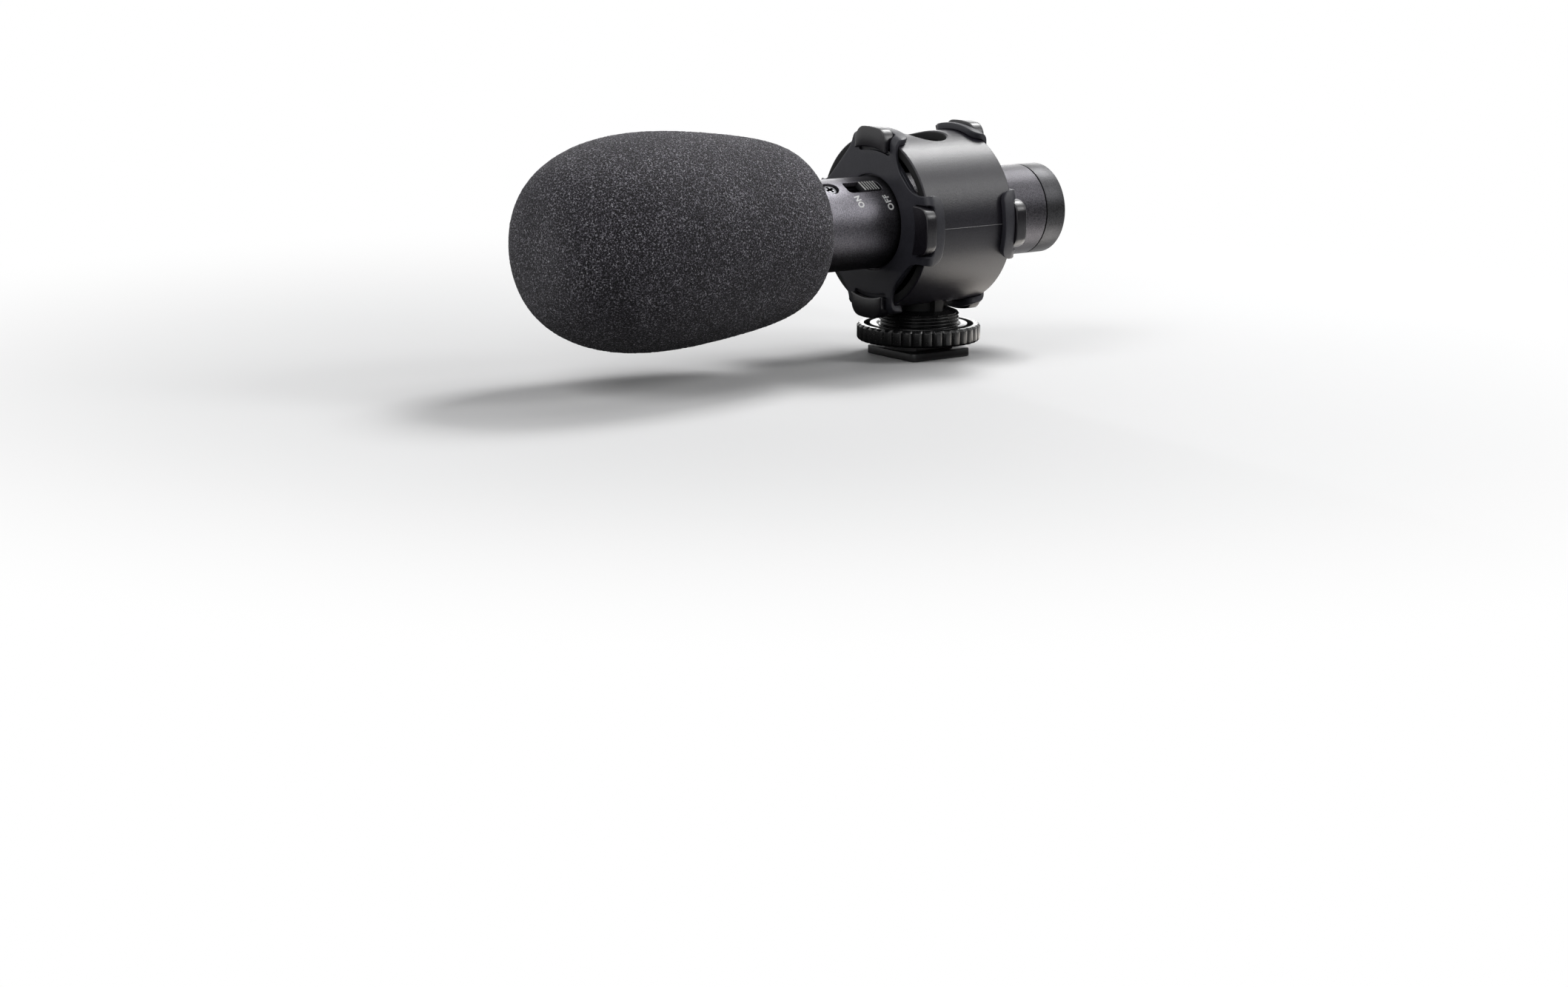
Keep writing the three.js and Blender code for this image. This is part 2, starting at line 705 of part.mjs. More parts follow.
function jackNut() {
  const low = tubeRadius - spotFaceDepth + seatGap;
  const inner = jackNeckRadius + fitGap;
  const outer = inner + jackNutWidth;
  const ring = turnedUp(hollowProfile(inner, outer, low, low + jackNutThickness), innerSides);
  const notchHalf = jackNutNotch / 2;
  const notch = block(
    -outer - cutOverrun, outer + cutOverrun, -notchHalf, notchHalf,
    low + jackNutThickness / 2, low + jackNutThickness + cutOverrun);
  return cut(ring, notch).translate(0, jackY, 0);
}

addPiece(jackTurn, 'jack_socket', jackSocket(), 0x1c1c1d, 0.4, 0.2);
addPiece(jackTurn, 'jack_nut', jackNut(), 0xc4c4c8, 0.2, 1);

// Windscreen: blunt egg of foam, bored from behind to push over the barrel
function windscreenFoam() {
  const bore = tubeRadius + foamGrip;
  const half = foamLength / 2;
  const [whole, tilt, waist, nose] = foamRoundShares;
  const profile = [[0, foamTipY]];
  for (let step = 1; step < foamSteps; step += 1) {
    const angle = step / foamSteps * Math.PI;
    const round = whole + tilt * Math.cos(angle) + waist * Math.cos(2 * angle) + nose * Math.cos(3 * angle);
    const radius = foamRadius * round * Math.sin(angle) ** foamBluntness;
    if (radius > bore) profile.push([radius, foamTipY + half * (1 - Math.cos(angle))]);
  }
  profile.push([bore, foamRearY], [bore, foamBoreEndY], [0, foamBoreEndY]);
  return join(turned(profile, foamSides));
}

addPiece(microphone, 'windscreen_foam', windscreenFoam(), 0x3b3b3c, 0.95, 0);

// Nose cap: perforated front end of the barrel
function frontGrille() {
  const skirtOuter = tubeInner - fitGap;
  const skirtInner = skirtOuter - noseSkirtWall;
  const innerFaceY = noseTipY + noseWall;
  const shoulderY = tubeFrontY - seatGap;
  const cup = turned([
    [0, noseTipY], [tubeRadius - noseBevel, noseTipY], [tubeRadius, noseTipY + noseBevel],
    [tubeRadius, shoulderY], [skirtOuter, shoulderY], [skirtOuter, noseSkirtEndY],
    [skirtInner, noseSkirtEndY], [skirtInner, innerFaceY], [0, innerFaceY],
  ], innerSides);
  const holes = [];
  const rows = Math.floor((skirtInner - noseHoleRadius) / noseHoleSpacing);
  for (let row = -rows; row <= rows; row += 1) {
    for (let column = -rows; column <= rows; column += 1) {
      const x = (column + row / 2) * noseHoleSpacing;
      const z = row * noseHoleSpacing * Math.sqrt(3) / 2;
      const inside = Math.hypot(x, z) + noseHoleRadius < skirtInner;
      if (inside) holes.push(pinAlong(noseHoleRadius, noseTipY - cutOverrun, noseTipY + cutOverrun, x, z, 8));
    }
  }
  return cut(cup, ...holes);
}

addPiece(microphone, 'front_grille', frontGrille(), 0x2b2b2d, 0.4, 0.8);

// Capsule in its rubber boot, with two wires to the board
function capsule() {
  const body = turned(diskProfile(capsuleRadius, capsuleFrontY, capsuleRearY), innerSides);
  const portEnd = capsuleFrontY + capsulePortDepth;
  return cut(body, pinAlong(capsulePortRadius, capsuleFrontY - cutOverrun, portEnd, 0, 0));
}

function capsuleBoot() {
  const pocket = capsuleRadius + fitGap;
  const pocketEnd = capsuleRearY + fitGap;
  return join(turned([
    [pocket, bootFrontY], [tubeFill, bootFrontY], [tubeFill, bootRearY], [bootHoleRadius, bootRearY],
    [bootHoleRadius, pocketEnd], [pocket, pocketEnd], [pocket, bootFrontY],
  ], innerSides));
}

const boardTop = -jackHalfWidth - turnGap;

function capsuleWire(side) {
  const x = side * wireAcross;
  const rest = boardTop + wireRadius + seatGap;
  const curve = new THREE.CatmullRomCurve3([
    new THREE.Vector3(x, capsuleRearY + seatGap, 0),
    new THREE.Vector3(x, bootRearY, 0),
    new THREE.Vector3(x, (bootRearY + boardFrontY) / 2, rest / 2),
    new THREE.Vector3(x, boardFrontY - wireLap, rest),
    new THREE.Vector3(x, boardFrontY + wireLap, rest),
  ]);
  return join(wireAlong(curve, wireRadius, 16));
}

addPiece(microphone, 'capsule', capsule(), 0xb8b8bc, 0.3, 1);
addPiece(microphone, 'capsule_boot', capsuleBoot(), 0x1e1e20, 0.8, 0);
addPiece(microphone, 'capsule_wire_signal', capsuleWire(1), 0xb02020, 0.5, 0);
addPiece(microphone, 'capsule_wire_ground', capsuleWire(-1), 0x202022, 0.5, 0);

// Circuit board across the barrel, under the socket
const boardHalfWidth = Math.sqrt((tubeInner - turnGap) ** 2 - (boardTop - boardThickness) ** 2);
const partsFoot = boardTop + seatGap;
const chipY = boardFrontY + chipAlong;
const capacitorY = boardFrontY + couplingAlong;

addPiece(microphone, 'circuit_board', join(block(
  -boardHalfWidth, boardHalfWidth, boardFrontY, boardRearY, boardTop - boardThickness, boardTop,
)), 0x1f5a33, 0.5, 0);
addPiece(microphone, 'preamp_chip', join(block(
  -chipWidth / 2, chipWidth / 2, chipY - chipLength / 2, chipY + chipLength / 2, partsFoot, partsFoot + chipHeight,
)), 0x151516, 0.5, 0);
addPiece(microphone, 'coupling_capacitor', join(pinUp(
  couplingRadius, partsFoot, partsFoot + couplingHeight, -capacitorAcross, capacitorY,
)), 0x22304a, 0.4, 0);
addPiece(microphone, 'supply_capacitor', join(pinUp(
  supplyRadius, partsFoot, partsFoot + supplyHeight, capacitorAcross, capacitorY,
)), 0x2a2a2c, 0.4, 0);

// Wires from the switch body down to the board
function switchWire(along) {
  const startRadius = switchTop - switchBodyDepth - turnGap - wireRadius;
  const x = startRadius * Math.sin(switchAngle);
  const curve = new THREE.LineCurve3(
    new THREE.Vector3(x, along, startRadius * Math.cos(switchAngle)),
    new THREE.Vector3(x, along, partsFoot),
  );
  return join(wireAlong(curve, wireRadius, 1));
}

addPiece(microphone, 'switch_wire_front', switchWire(jackY + jackHalfLength + 4 * wireRadius), 0xc0a020, 0.5, 0);
addPiece(microphone, 'switch_wire_rear', switchWire(jackY + jackHalfLength + 8 * wireRadius), 0xb02020, 0.5, 0);

// Battery holder: bulkhead, sleeve and fins that centre it in the barrel
const holderInner = batteryRadius + turnGap;
const holderRearY = spigotFrontY - turnGap;
const leadHeight = boardTop + wireRadius + seatGap;

function batteryHolder() {
  const bulkhead = turned(diskProfile(tubeFill, bulkheadFrontY, bulkheadRearY), innerSides);
  const outer = holderInner + holderWall;
  const sleeve = turned(hollowProfile(holderInner, outer, bulkheadFrontY, holderRearY), innerSides);
  const middle = holderInner + holderWall / 2;
  const half = holderFinWidth / 2;
  const fin = block(-half, half, bulkheadFrontY, holderRearY, middle, tubeFill);
  const fins = Array.from(
    { length: holderFins }, (_, at) => fin.clone().rotateY((at + 0.5) / holderFins * Math.PI * 2));
  const trimmed = common(join(...fins), turned(diskProfile(tubeFill, bulkheadFrontY, holderRearY), innerSides));
  const leadHole = pinAlong(
    wireRadius + fitGap, bulkheadFrontY - cutOverrun, bulkheadRearY + cutOverrun, 0, leadHeight);
  return cut(join(bulkhead, sleeve, trimmed), leadHole);
}

function battery() {
  const shoulder = batteryFrontY + batteryNubLength;
  return join(turned([
    [0, batteryFrontY], [batteryNubRadius, batteryFrontY], [batteryNubRadius, shoulder],
    [batteryRadius, shoulder], [batteryRadius, batteryRearY], [0, batteryRearY],
  ], innerSides));
}

function batteryLead() {
  const curve = new THREE.LineCurve3(
    new THREE.Vector3(0, boardRearY - wireLap, leadHeight),
    new THREE.Vector3(0, contactFrontY - seatGap, leadHeight),
  );
  return join(wireAlong(curve, wireRadius, 1));
}

addPiece(microphone, 'battery_holder', batteryHolder(), 0x26262a, 0.6, 0);
addPiece(microphone, 'battery', battery(), 0x7c6a2a, 0.35, 0.6);
addPiece(microphone, 'battery_contact', join(turned(
  diskProfile(batteryRadius, contactFrontY, contactRearY), innerSides)), 0xc9b37a, 0.3, 1);
addPiece(microphone, 'battery_lead', batteryLead(), 0xb02020, 0.5, 0);

// Conical spring between the battery and the cap
class ConeHelix extends THREE.Curve {
  getPoint(share, target = new THREE.Vector3()) {
    const angle = share * springTurns * Math.PI * 2;
    const radius = batteryRadius * THREE.MathUtils.lerp(springWideShare, springNarrowShare, share);
    const low = batteryRearY + seatGap + springWire;
    const high = capInnerY - seatGap - springWire;
    return target.set(radius * Math.cos(angle), THREE.MathUtils.lerp(high, low, share), radius * Math.sin(angle));
  }
}

addPiece(microphone, 'battery_spring', join(wireAlong(
  new ConeHelix(), springWire, springTurns * springStepsPerTurn)), 0xc8c8cc, 0.25, 1);

// Rear cap on a threaded spigot, with an O-ring in the barrel's end
const gasketInner = tubeFill - gasketLedge;

function rearCap() {
  const spigotInner = gasketInner - capSpigotWall;
  const shoulderY = tubeRearY + capSeam;
  const gasketY = tubeRearY - gasketThickness - 2 * seatGap;
  return join(turned([
    [spigotInner, spigotFrontY], [tubeFill, spigotFrontY], [tubeFill, gasketY],
    [gasketInner - fitGap, gasketY], [gasketInner - fitGap, shoulderY], [tubeRadius, shoulderY],
    [tubeRadius, capEndY - capBevel], [tubeRadius - capBevel, capEndY], [0, capEndY],
    [0, capInnerY], [spigotInner, capInnerY], [spigotInner, spigotFrontY],
  ]));
}

function capGasket() {
  const outer = tubeInner + gasketLedge - fitGap;
  const middle = (gasketInner + outer) / 2;
  const across = (outer - gasketInner) / 2;
  const centreY = tubeRearY - gasketThickness / 2;
  const half = gasketThickness / 2;
  const sides = 6;
  const profile = Array.from({ length: sides + 1 }, (_, at) => {
    const angle = (at % sides) / sides * Math.PI * 2;
    return [middle + across * Math.cos(angle), centreY + half * Math.sin(angle)];
  });
  return join(turned(profile, innerSides));
}

addPiece(microphone, 'rear_cap', rearCap(), 0x2d2d30, 0.4, 0.6);
addPiece(microphone, 'cap_gasket', capGasket(), 0x111112, 0.8, 0);

export default part;
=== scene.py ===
import bmesh
import bpy
from math import acos, atan2, ceil, cos, hypot, pi, radians, sin, sqrt, tan, tau
from mathutils import Matrix, Vector, noise
from mathutils.geometry import delaunay_2d_cdt


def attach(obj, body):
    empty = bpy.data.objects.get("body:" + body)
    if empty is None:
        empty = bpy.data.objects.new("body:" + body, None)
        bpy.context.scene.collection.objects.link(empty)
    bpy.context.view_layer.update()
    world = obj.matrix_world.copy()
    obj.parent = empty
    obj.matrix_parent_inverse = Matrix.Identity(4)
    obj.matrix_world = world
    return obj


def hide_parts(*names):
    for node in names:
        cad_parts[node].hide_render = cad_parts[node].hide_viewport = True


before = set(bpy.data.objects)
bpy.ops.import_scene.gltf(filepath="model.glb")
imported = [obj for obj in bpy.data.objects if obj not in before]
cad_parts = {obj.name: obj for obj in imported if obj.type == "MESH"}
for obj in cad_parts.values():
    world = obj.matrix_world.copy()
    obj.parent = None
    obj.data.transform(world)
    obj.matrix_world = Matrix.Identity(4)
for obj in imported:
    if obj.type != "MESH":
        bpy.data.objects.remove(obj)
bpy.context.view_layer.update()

mm = 0.001  # shapes are worked out in millimetres, the scene is in metres
axisHeight = 33.4  # the barrel's axis above the foot's underside
scene = bpy.context.scene


def linear(hexColour):
    # an sRGB hex value as the linear colour that a shader takes
    levels = [int(hexColour[at:at + 2], 16) / 255 for at in (1, 3, 5)]
    return (*[c / 12.92 if c <= 0.04045 else ((c + 0.055) / 1.055) ** 2.4 for c in levels], 1)


def evenly(first, last, steps):
    # evenly spaced values from first to last, both included
    return [first + (last - first) * at / steps for at in range(steps + 1)]


def pick(look, keys):
    # several of a piece's sizes at once
    return [look[key] for key in keys.split()]


def blank(owner):
    # a material or a world with an empty node tree
    owner.use_nodes = True
    owner.node_tree.nodes.clear()
    return owner


def addNode(owner, kind, settings=None, links=None):
    # one node with its settings, and what feeds its inputs: an output, or a node for its first output
    made = owner.node_tree.nodes.new("ShaderNode" + kind)
    for key, value in (settings or {}).items():
        if isinstance(key, str) and hasattr(made, key):
            setattr(made, key, value)
        else:
            made.inputs[key].default_value = value
    for key, source in (links or {}).items():
        owner.node_tree.links.new(getattr(source, "outputs", [source])[0], made.inputs[key])
    return made


def setStops(ramp, stops):
    # a ramp's stops, from (position, linear colour) pairs
    made = ramp.color_ramp.elements
    while len(made) < len(stops):
        made.new(0.5)
    for stop, (position, colour) in zip(made, stops):
        stop.position, stop.color = position, colour


def perMetre(size):
    # a pattern's scale from the size of one grain in mm
    return 1 / (size * mm)


def makeFinish(name, colour, second, patch, grain, depth, roughness, speckle=0.4, paintedLight=(), **sockets):
    # two close colours in patches of a size in mm, a fine grain with its size and depth in mm, roughness from and to,
    # how much the grain shows in the colour, and the shader's own sockets
    material = blank(bpy.data.materials.new(name))
    place = addNode(material, "TexCoord").outputs["Object"]
    patches, grains = [
        addNode(material, "TexNoise", {"Scale": perMetre(size), "Detail": detail, "Roughness": soft}, {"Vector": place})
        for size, detail, soft in ((patch, 4, 0.6), (grain, 3, 0.65))]
    blend = addNode(material, "MapRange", {"From Min": 0.35, "From Max": 0.65}, {"Value": patches})
    speck = addNode(material, "MapRange", {"From Min": 0.3, "From Max": 0.7}, {"Value": grains})
    mixed = addNode(material, "Mix", {0: speckle}, {2: blend, 3: speck})
    tint = addNode(material, "Mix", {"data_type": "RGBA", 6: linear(colour), 7: linear(second)}, {0: mixed}).outputs[2]
    if paintedLight:  # painted light and shade along Y, from the front to the rear
        first, last = paintedLight[0][0], paintedLight[-1][0]
        along = addNode(material, "SeparateXYZ", None, {0: place}).outputs["Y"]
        share = addNode(material, "MapRange", {"From Min": first * mm, "From Max": last * mm}, {"Value": along})
        ramp = addNode(material, "ValToRGB", None, {"Fac": share})
        setStops(ramp, [((at - first) / (last - first), (level, level, level, 1)) for at, level in paintedLight])
        paintedLightMix = {"data_type": "RGBA", "blend_type": "MULTIPLY", 0: 1.0}
        tint = addNode(material, "Mix", paintedLightMix, {6: tint, 7: ramp}).outputs[2]
    gloss = addNode(material, "MapRange", {"To Min": roughness[0], "To Max": roughness[1]}, {"Value": speck})
    bump = addNode(material, "Bump", {"Strength": 1.0, "Distance": depth * mm}, {"Height": grains})
    shader = addNode(material, "BsdfPrincipled", {key.replace("_", " "): value for key, value in sockets.items()},
                     {"Base Color": tint, "Roughness": gloss, "Normal": bump})
    addNode(material, "OutputMaterial", None, {"Surface": shader})
    return material


def rounded(corners, steps=4, closed=True):
    # an outline from (x, y, radius) corners, with each corner turned into an arc
    made = []
    count = len(corners)
    for at, (x, y, radius) in enumerate(corners):
        corner = Vector((x, y))
        if radius <= 0 or (not closed and at in (0, count - 1)):
            made.append(corner)
            continue
        before = (Vector(corners[at - 1][:2]) - corner).normalized()
        after = (Vector(corners[(at + 1) % count][:2]) - corner).normalized()
        inside = before.angle(after)
        sweep = pi - inside
        centre = corner + (before + after).normalized() * radius / sin(inside / 2)
        first = corner + before * radius / tan(inside / 2) - centre
        last = corner + after * radius / tan(inside / 2) - centre
        for share in evenly(0, 1, steps):
            made.append(centre + (first * sin((1 - share) * sweep) + last * sin(share * sweep)) / sin(sweep))
    return made


def box(left, low, right, high, corner=0, steps=4):
    return rounded([(left, low, corner), (right, low, corner), (right, high, corner), (left, high, corner)], steps)


def circle(radius, count, x=0, y=0):
    return [Vector((x + radius * cos(t), y + radius * sin(t))) for t in evenly(0, tau, count)[:-1]]


def spaced(points, gap, closed=True):
    # the same outline with points added, so that none are further apart than gap
    made = []
    ends = points[1:] + points[:1] if closed else points[1:]
    for start, end in zip(points, ends):
        parts = max(1, ceil((end - start).length / gap))
        made += [start.lerp(end, part / parts) for part in range(parts)]
    return made if closed else made + [points[-1]]


def moved(points, distance):
    # a closed outline moved to its left, or to its right where distance is negative
    made = []
    for before, point, after in zip(points[-1:] + points[:-1], points, points[1:] + points[:1]):
        arriving = (point - before).normalized()
        along = (arriving + (after - point).normalized()).normalized()
        left = Vector((-along.y, along.x))
        made.append(point + left * distance / max(0.5, arriving.dot(along)))
    return made


def quarterTurned(x, y, quarter):
    # a point turned clockwise by quarters of a turn
    cosine, sine = ((1, 0), (0, 1), (-1, 0), (0, -1))[quarter % 4]
    return Vector((x * cosine + y * sine, y * cosine - x * sine))


def aroundBarrel(reach, angle, y):
    # a point at a distance from the barrel's axis, at an angle from the top towards +X
    return reach * sin(angle), y, axisHeight + reach * cos(angle)


def lathe(profile, sides=160, upright=False, closed=True):
    # a profile of (radius, along) points, turned about the barrel's axis or about the upright axis
    points, rows, faces = [], [], []
    for radius, along in profile:
        count = 1 if radius < 1e-6 else sides
        rows.append([len(points) + at for at in range(count)] * (sides // count))
        for angle in [side / sides * tau for side in range(count)]:
            if upright:
                points.append((radius * cos(angle), radius * sin(angle), along))
            else:
                points.append(aroundBarrel(radius, angle, along))
    for low, high in zip(rows, rows[1:] + (rows[:1] if closed else [])):
        faces += zip(low, high, high[1:] + high[:1], low[1:] + low[:1])
    return points, faces


def band(lower, upper):
    # the faces between two closed rows
    return list(zip(lower, lower[1:] + lower[:1], upper[1:] + upper[:1], upper))


def loft(rows):
    # a closed skin over rows of as many points each, with flat ends
    count = len(rows[0])
    numbers = [list(range(start, start + count)) for start in range(0, count * len(rows), count)]
    faces = []
    for lower, upper in zip(numbers, numbers[1:]):
        faces += band(lower, upper)
    return [point for row in rows for point in row], faces + [numbers[0], numbers[-1]]


def prism(outline, low, high, edge=0, steps=1, edgeSteps=3, sharpest=25):
    # an outline in (u, v) pulled along w from low to high, with every sharp edge rounded
    bm = bmesh.new()
    rows = [[bm.verts.new((p.x, p.y, w)) for p in outline] for w in evenly(low, high, steps)]
    for lower, upper in zip(rows, rows[1:]):
        for face in band(lower, upper):
            bm.faces.new(face)
    bm.faces.new(rows[0][::-1])
    bm.faces.new(rows[-1])
    bmesh.ops.recalc_face_normals(bm, faces=bm.faces)
    if edge > 0:
        sharp = [e for e in bm.edges if e.calc_face_angle(0) > radians(sharpest)]
        bmesh.ops.bevel(bm, geom=sharp, offset=edge, offset_type="OFFSET", segments=edgeSteps, profile=0.5,
                        affect="EDGES", clamp_overlap=True)
    bmesh.ops.triangulate(bm, faces=[f for f in bm.faces if len(f.verts) > 4])
    bm.verts.index_update()
    shape = [tuple(v.co) for v in bm.verts], [[v.index for v in f.verts] for f in bm.faces]
    bm.free()
    return shape


def disk(radius, low, high, sides=48):
    # an upright round bar, closed at both ends
    return lathe([(0, low), (radius, low), (radius, high), (0, high)], sides, upright=True, closed=False)


def placed(shape, place):
    # a shape with each of its points put through a function of (x, y, z)
    points, faces = shape
    return [place(*point) for point in points], faces


def shifted(shape, along):
    # a shape moved along Y
    return placed(shape, lambda x, y, z: (x, y + along, z))


def turnedAbout(shape, degrees):
    # a shape made at the barrel's top, its z measured from the axis, turned towards +X
    cosine, sine = cos(radians(degrees)), sin(radians(degrees))
    return placed(shape, lambda x, y, z: (x * cosine + z * sine, y, axisHeight - x * sine + z * cosine))


def addObject(name, data):
    made = bpy.data.objects.new(name, data)
    scene.collection.objects.link(made)
    return made


def meshOf(name, shapes):
    # one mesh in metres from several shapes in mm
    bm = bmesh.new()
    for points, faces in shapes:
        made = [bm.verts.new(Vector(point) * mm) for point in points]
        for face in faces:
            corners = list(dict.fromkeys(face))  # a row on the axis has one point
            if len(corners) > 2:
                bm.faces.new([made[at] for at in corners])
    bmesh.ops.recalc_face_normals(bm, faces=bm.faces)
    mesh = bpy.data.meshes.new(name)
    bm.to_mesh(mesh)
    bm.free()
    return mesh


def finalMesh(piece):
    # an object's mesh with its modifiers, or the mesh of a text
    bpy.context.view_layer.update()
    return bpy.data.meshes.new_from_object(piece.evaluated_get(bpy.context.evaluated_depsgraph_get()))


def carve(piece, shapes):
    # cuts closed shapes out of a piece
    cutter = addObject(piece.name + "Cutter", meshOf(piece.name + "Cutter", shapes))
    step = piece.modifiers.new("cut", "BOOLEAN")
    step.operation, step.solver, step.object = "DIFFERENCE", "EXACT", cutter
    mesh = finalMesh(piece)
    piece.modifiers.clear()
    piece.data = mesh
    bpy.data.objects.remove(cutter)


def smoothen(mesh, sharpest, roundFaces):
    # smooth shading up to an angle; faces that lie on a round face get its true normals, so that cuts leave no streak
    mesh.shade_smooth()
    mesh.set_sharp_from_angle(angle=radians(sharpest))
    if not roundFaces:
        return
    normals = [Vector((0, 0, 0))] * len(mesh.loops)
    centre = axisHeight * mm
    for face in mesh.polygons:
        corners = [mesh.vertices[at].co for at in face.vertices]
        reaches = [hypot(co.x, co.z - centre) / mm for co in corners]
        for radius in roundFaces:  # negative where the face looks inwards
            if all(abs(reach - abs(radius)) < 0.004 for reach in reaches):
                side = 1 if radius > 0 else -1
                for loop in face.loop_indices:
                    co = mesh.vertices[mesh.loops[loop].vertex_index].co
                    normals[loop] = Vector((co.x, 0, co.z - centre)).normalized() * side
    mesh.normals_split_custom_set(normals)


def addPiece(name, shapes, finish, body, cadNodes=(), cuts=(), sharpest=32, roundFaces=()):
    # cuts are groups of cutters: those of one group don't touch each other
    piece = addObject(name, meshOf(name, shapes))
    for group in cuts:
        carve(piece, group)
    smoothen(piece.data, sharpest, roundFaces)
    piece.data.materials.clear()
    piece.data.materials.append(finish)
    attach(piece, body)
    if cadNodes:
        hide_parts(*cadNodes)
    return piece


# Black anodised aluminium, bead blasted: a dark metal with a soft band of light and a fine even sparkle.
# The blasting's grain is 0.1 mm; it is drawn at 0.3 mm so that it shows.
anodised = makeFinish("blackAnodisedAluminium", "#282829", "#48484a", 9, 0.3, 0.035, (0.34, 0.48), 0.92, Metallic=1)
# The tube's front half is paler, a painted highlight, with its grain easier to see. Near the mount's plate and
# inside the mount the metal is darkened as painted shade, and behind the mount it stays darker than the front.
paintedLightAnodised = makeFinish("paintedLightAnodisedAluminium", "#3c3b3f", "#7d7b81", 9, 0.3, 0.06, (0.34, 0.48), 0.92, Metallic=1,
                          paintedLight=((-98, 1), (-22, 1), (-16.4, 0.6), (-14.6, 0.16), (10.5, 0.14), (12.6, 0.4), (31, 0.4)))
# Moulded ABS with a fine spark-eroded texture: satin black, highlights broad and slightly grainy.
shellPlastic = makeFinish("mouldedAbsSatin", "#0f0e13", "#23212a", 14, 0.32, 0.03, (0.33, 0.42), 0.8, IOR=1.46)
# The hooks, polished by the rubber that is stretched over them: their rounded edges catch thin bright lines.
hookPlastic = makeFinish("mouldedAbsPolished", "#110f14", "#1b191f", 4, 0.32, 0.012, (0.27, 0.35), 0.6, IOR=1.5)
# The same moulding's flash line, painted pale grey as a painted highlight along the ridge, and smoother than the
# texture beside it.
paintedHighlightPlastic = makeFinish("absPaintedHighlightLine", "#8a8a8c", "#a4a4a6", 3, 0.3, 0.003, (0.3, 0.4), IOR=1.54)
# The same plastic, rough and matt, made darker and duller as painted shade for the pedestal under the shell and the
# shell's rims and inner wall.
roughPaintedShadePlastic = makeFinish("mouldedAbsPaintedShade", "#0b0b0c", "#111112", 4, 0.3, 0.02, (0.58, 0.7), IOR=1.46,
                          Specular_IOR_Level=0.3)
# Polished acetal: near black and wet looking, so that the ribs catch sharp streaks.
ringPlastic = makeFinish("polishedAcetal", "#101011", "#171718", 6, 0.5, 0.002, (0.22, 0.28), IOR=1.48)
# Moulded silicone rubber: flat black, faintly dusty, only its rounded edges catch a thin line of light.
rubber = makeFinish("mouldedSilicone", "#29292f", "#36363d", 5, 0.4, 0.02, (0.38, 0.5), 0.55, IOR=1.43)
# Softer moulded rubber of the capsule's boot and the gasket: dull and dark grey.
softRubber = makeFinish("mouldedNitrile", "#141415", "#1c1c1d", 3, 0.3, 0.01, (0.55, 0.7), IOR=1.52)
# Die-cast zinc with black powder coat: the foot, with a faint orange peel.
castFoot = makeFinish("powderCoatedZinc", "#1b1b1c", "#222224", 5, 0.5, 0.012, (0.38, 0.5), IOR=1.5)
# Bright zinc-plated steel: clear cool reflections with slight haze.
brightSteel = makeFinish("zincPlatedSteel", "#c9ccd2", "#b9bcc4", 2, 0.25, 0.003, (0.2, 0.32), Metallic=1)
# Blackened steel, the oxide rubbed off the screw's head: mid grey metal round a black cross.
screwSteel = makeFinish("blackenedSteelWorn", "#3c3c3f", "#57575a", 0.8, 0.18, 0.006, (0.3, 0.42), Metallic=1)
# The same steel with its oxide whole: dark metal with a dull gleam.
blackSteel = makeFinish("blackOxideSteel", "#1d1d20", "#28282b", 1, 0.2, 0.004, (0.3, 0.42), Metallic=0.85)
# Nickel-plated brass: the socket's nut, warm and mirror-like.
nickel = makeFinish("nickelPlatedBrass", "#cfcbc2", "#bdb8ae", 2, 0.3, 0.002, (0.12, 0.22), Metallic=1)
# Moulded polyamide of the slider: dark, so that its ridges' crests, painted pale as painted highlights, stand out as
# pale lines.
sliderPlastic = makeFinish("mouldedPolyamide", "#1c1c1d", "#2e2e30", 1.2, 0.2, 0.006, (0.3, 0.42), IOR=1.53)
# the crests' near-white colour is painted highlight
paintedHighlightCrest = makeFinish("polyamidePaintedHighlight", "#c8c8c6", "#ececea", 0.8, 0.16, 0.004, (0.3, 0.4), IOR=1.53)
# Plain black ABS of the inner parts: duller than the shell, with mould flow marks.
holderPlastic = makeFinish("mouldedAbsDull", "#1a1a1c", "#232326", 7, 0.4, 0.01, (0.45, 0.58), IOR=1.54)
# Glass-filled PBT of the socket: dense black, with a clean low gleam.
socketPlastic = makeFinish("mouldedPbt", "#111112", "#18181a", 2, 0.3, 0.006, (0.28, 0.4), IOR=1.57)
# The chip's epoxy: flat charcoal with a sandy face.
chipPlastic = makeFinish("mouldedEpoxy", "#1c1c1e", "#2a2a2d", 1, 0.15, 0.01, (0.5, 0.65))
# Green lacquer over a glass weave.
boardGreen = makeFinish("solderMaskedFibreglass", "#124a2a", "#1d6238", 1.6, 0.5, 0.006, (0.25, 0.38))
# The capacitors' shrunk dark blue sleeve, tight and shiny.
canBlue = makeFinish("sleevedAluminiumCan", "#1a2440", "#222e52", 2, 0.6, 0.004, (0.2, 0.3))
# Brass contact, clean and yellow; and the battery's lacquered jacket, a dull copper gleam.
contactPlate = makeFinish("springBrass", "#c2a25c", "#ad8d4c", 1.5, 0.2, 0.003, (0.22, 0.34), Metallic=1)
batteryWrap = makeFinish("printedSteelJacket", "#8a5a22", "#7a4e1c", 12, 0.7, 0.003, (0.22, 0.3), Metallic=0.6)
# Screen-printed ink: thin, opaque and slightly uneven.
whiteInk = makeFinish("screenPrintedWhite", "#fcfcfb", "#f4f4f3", 0.8, 0.12, 0.004, (0.45, 0.6))
# Extruded PVC of the wires: plain colours with an even soft shine.
redWire, blackWire, yellowWire = [
    makeFinish("extrudedPvc" + name, colour, second, 2, 0.3, 0.004, (0.32, 0.42))
    for name, colour, second in (("Red", "#8c1b17", "#a82a22"), ("Black", "#17171a", "#202023"),
                                 ("Yellow", "#b08a16", "#c49c22"))]
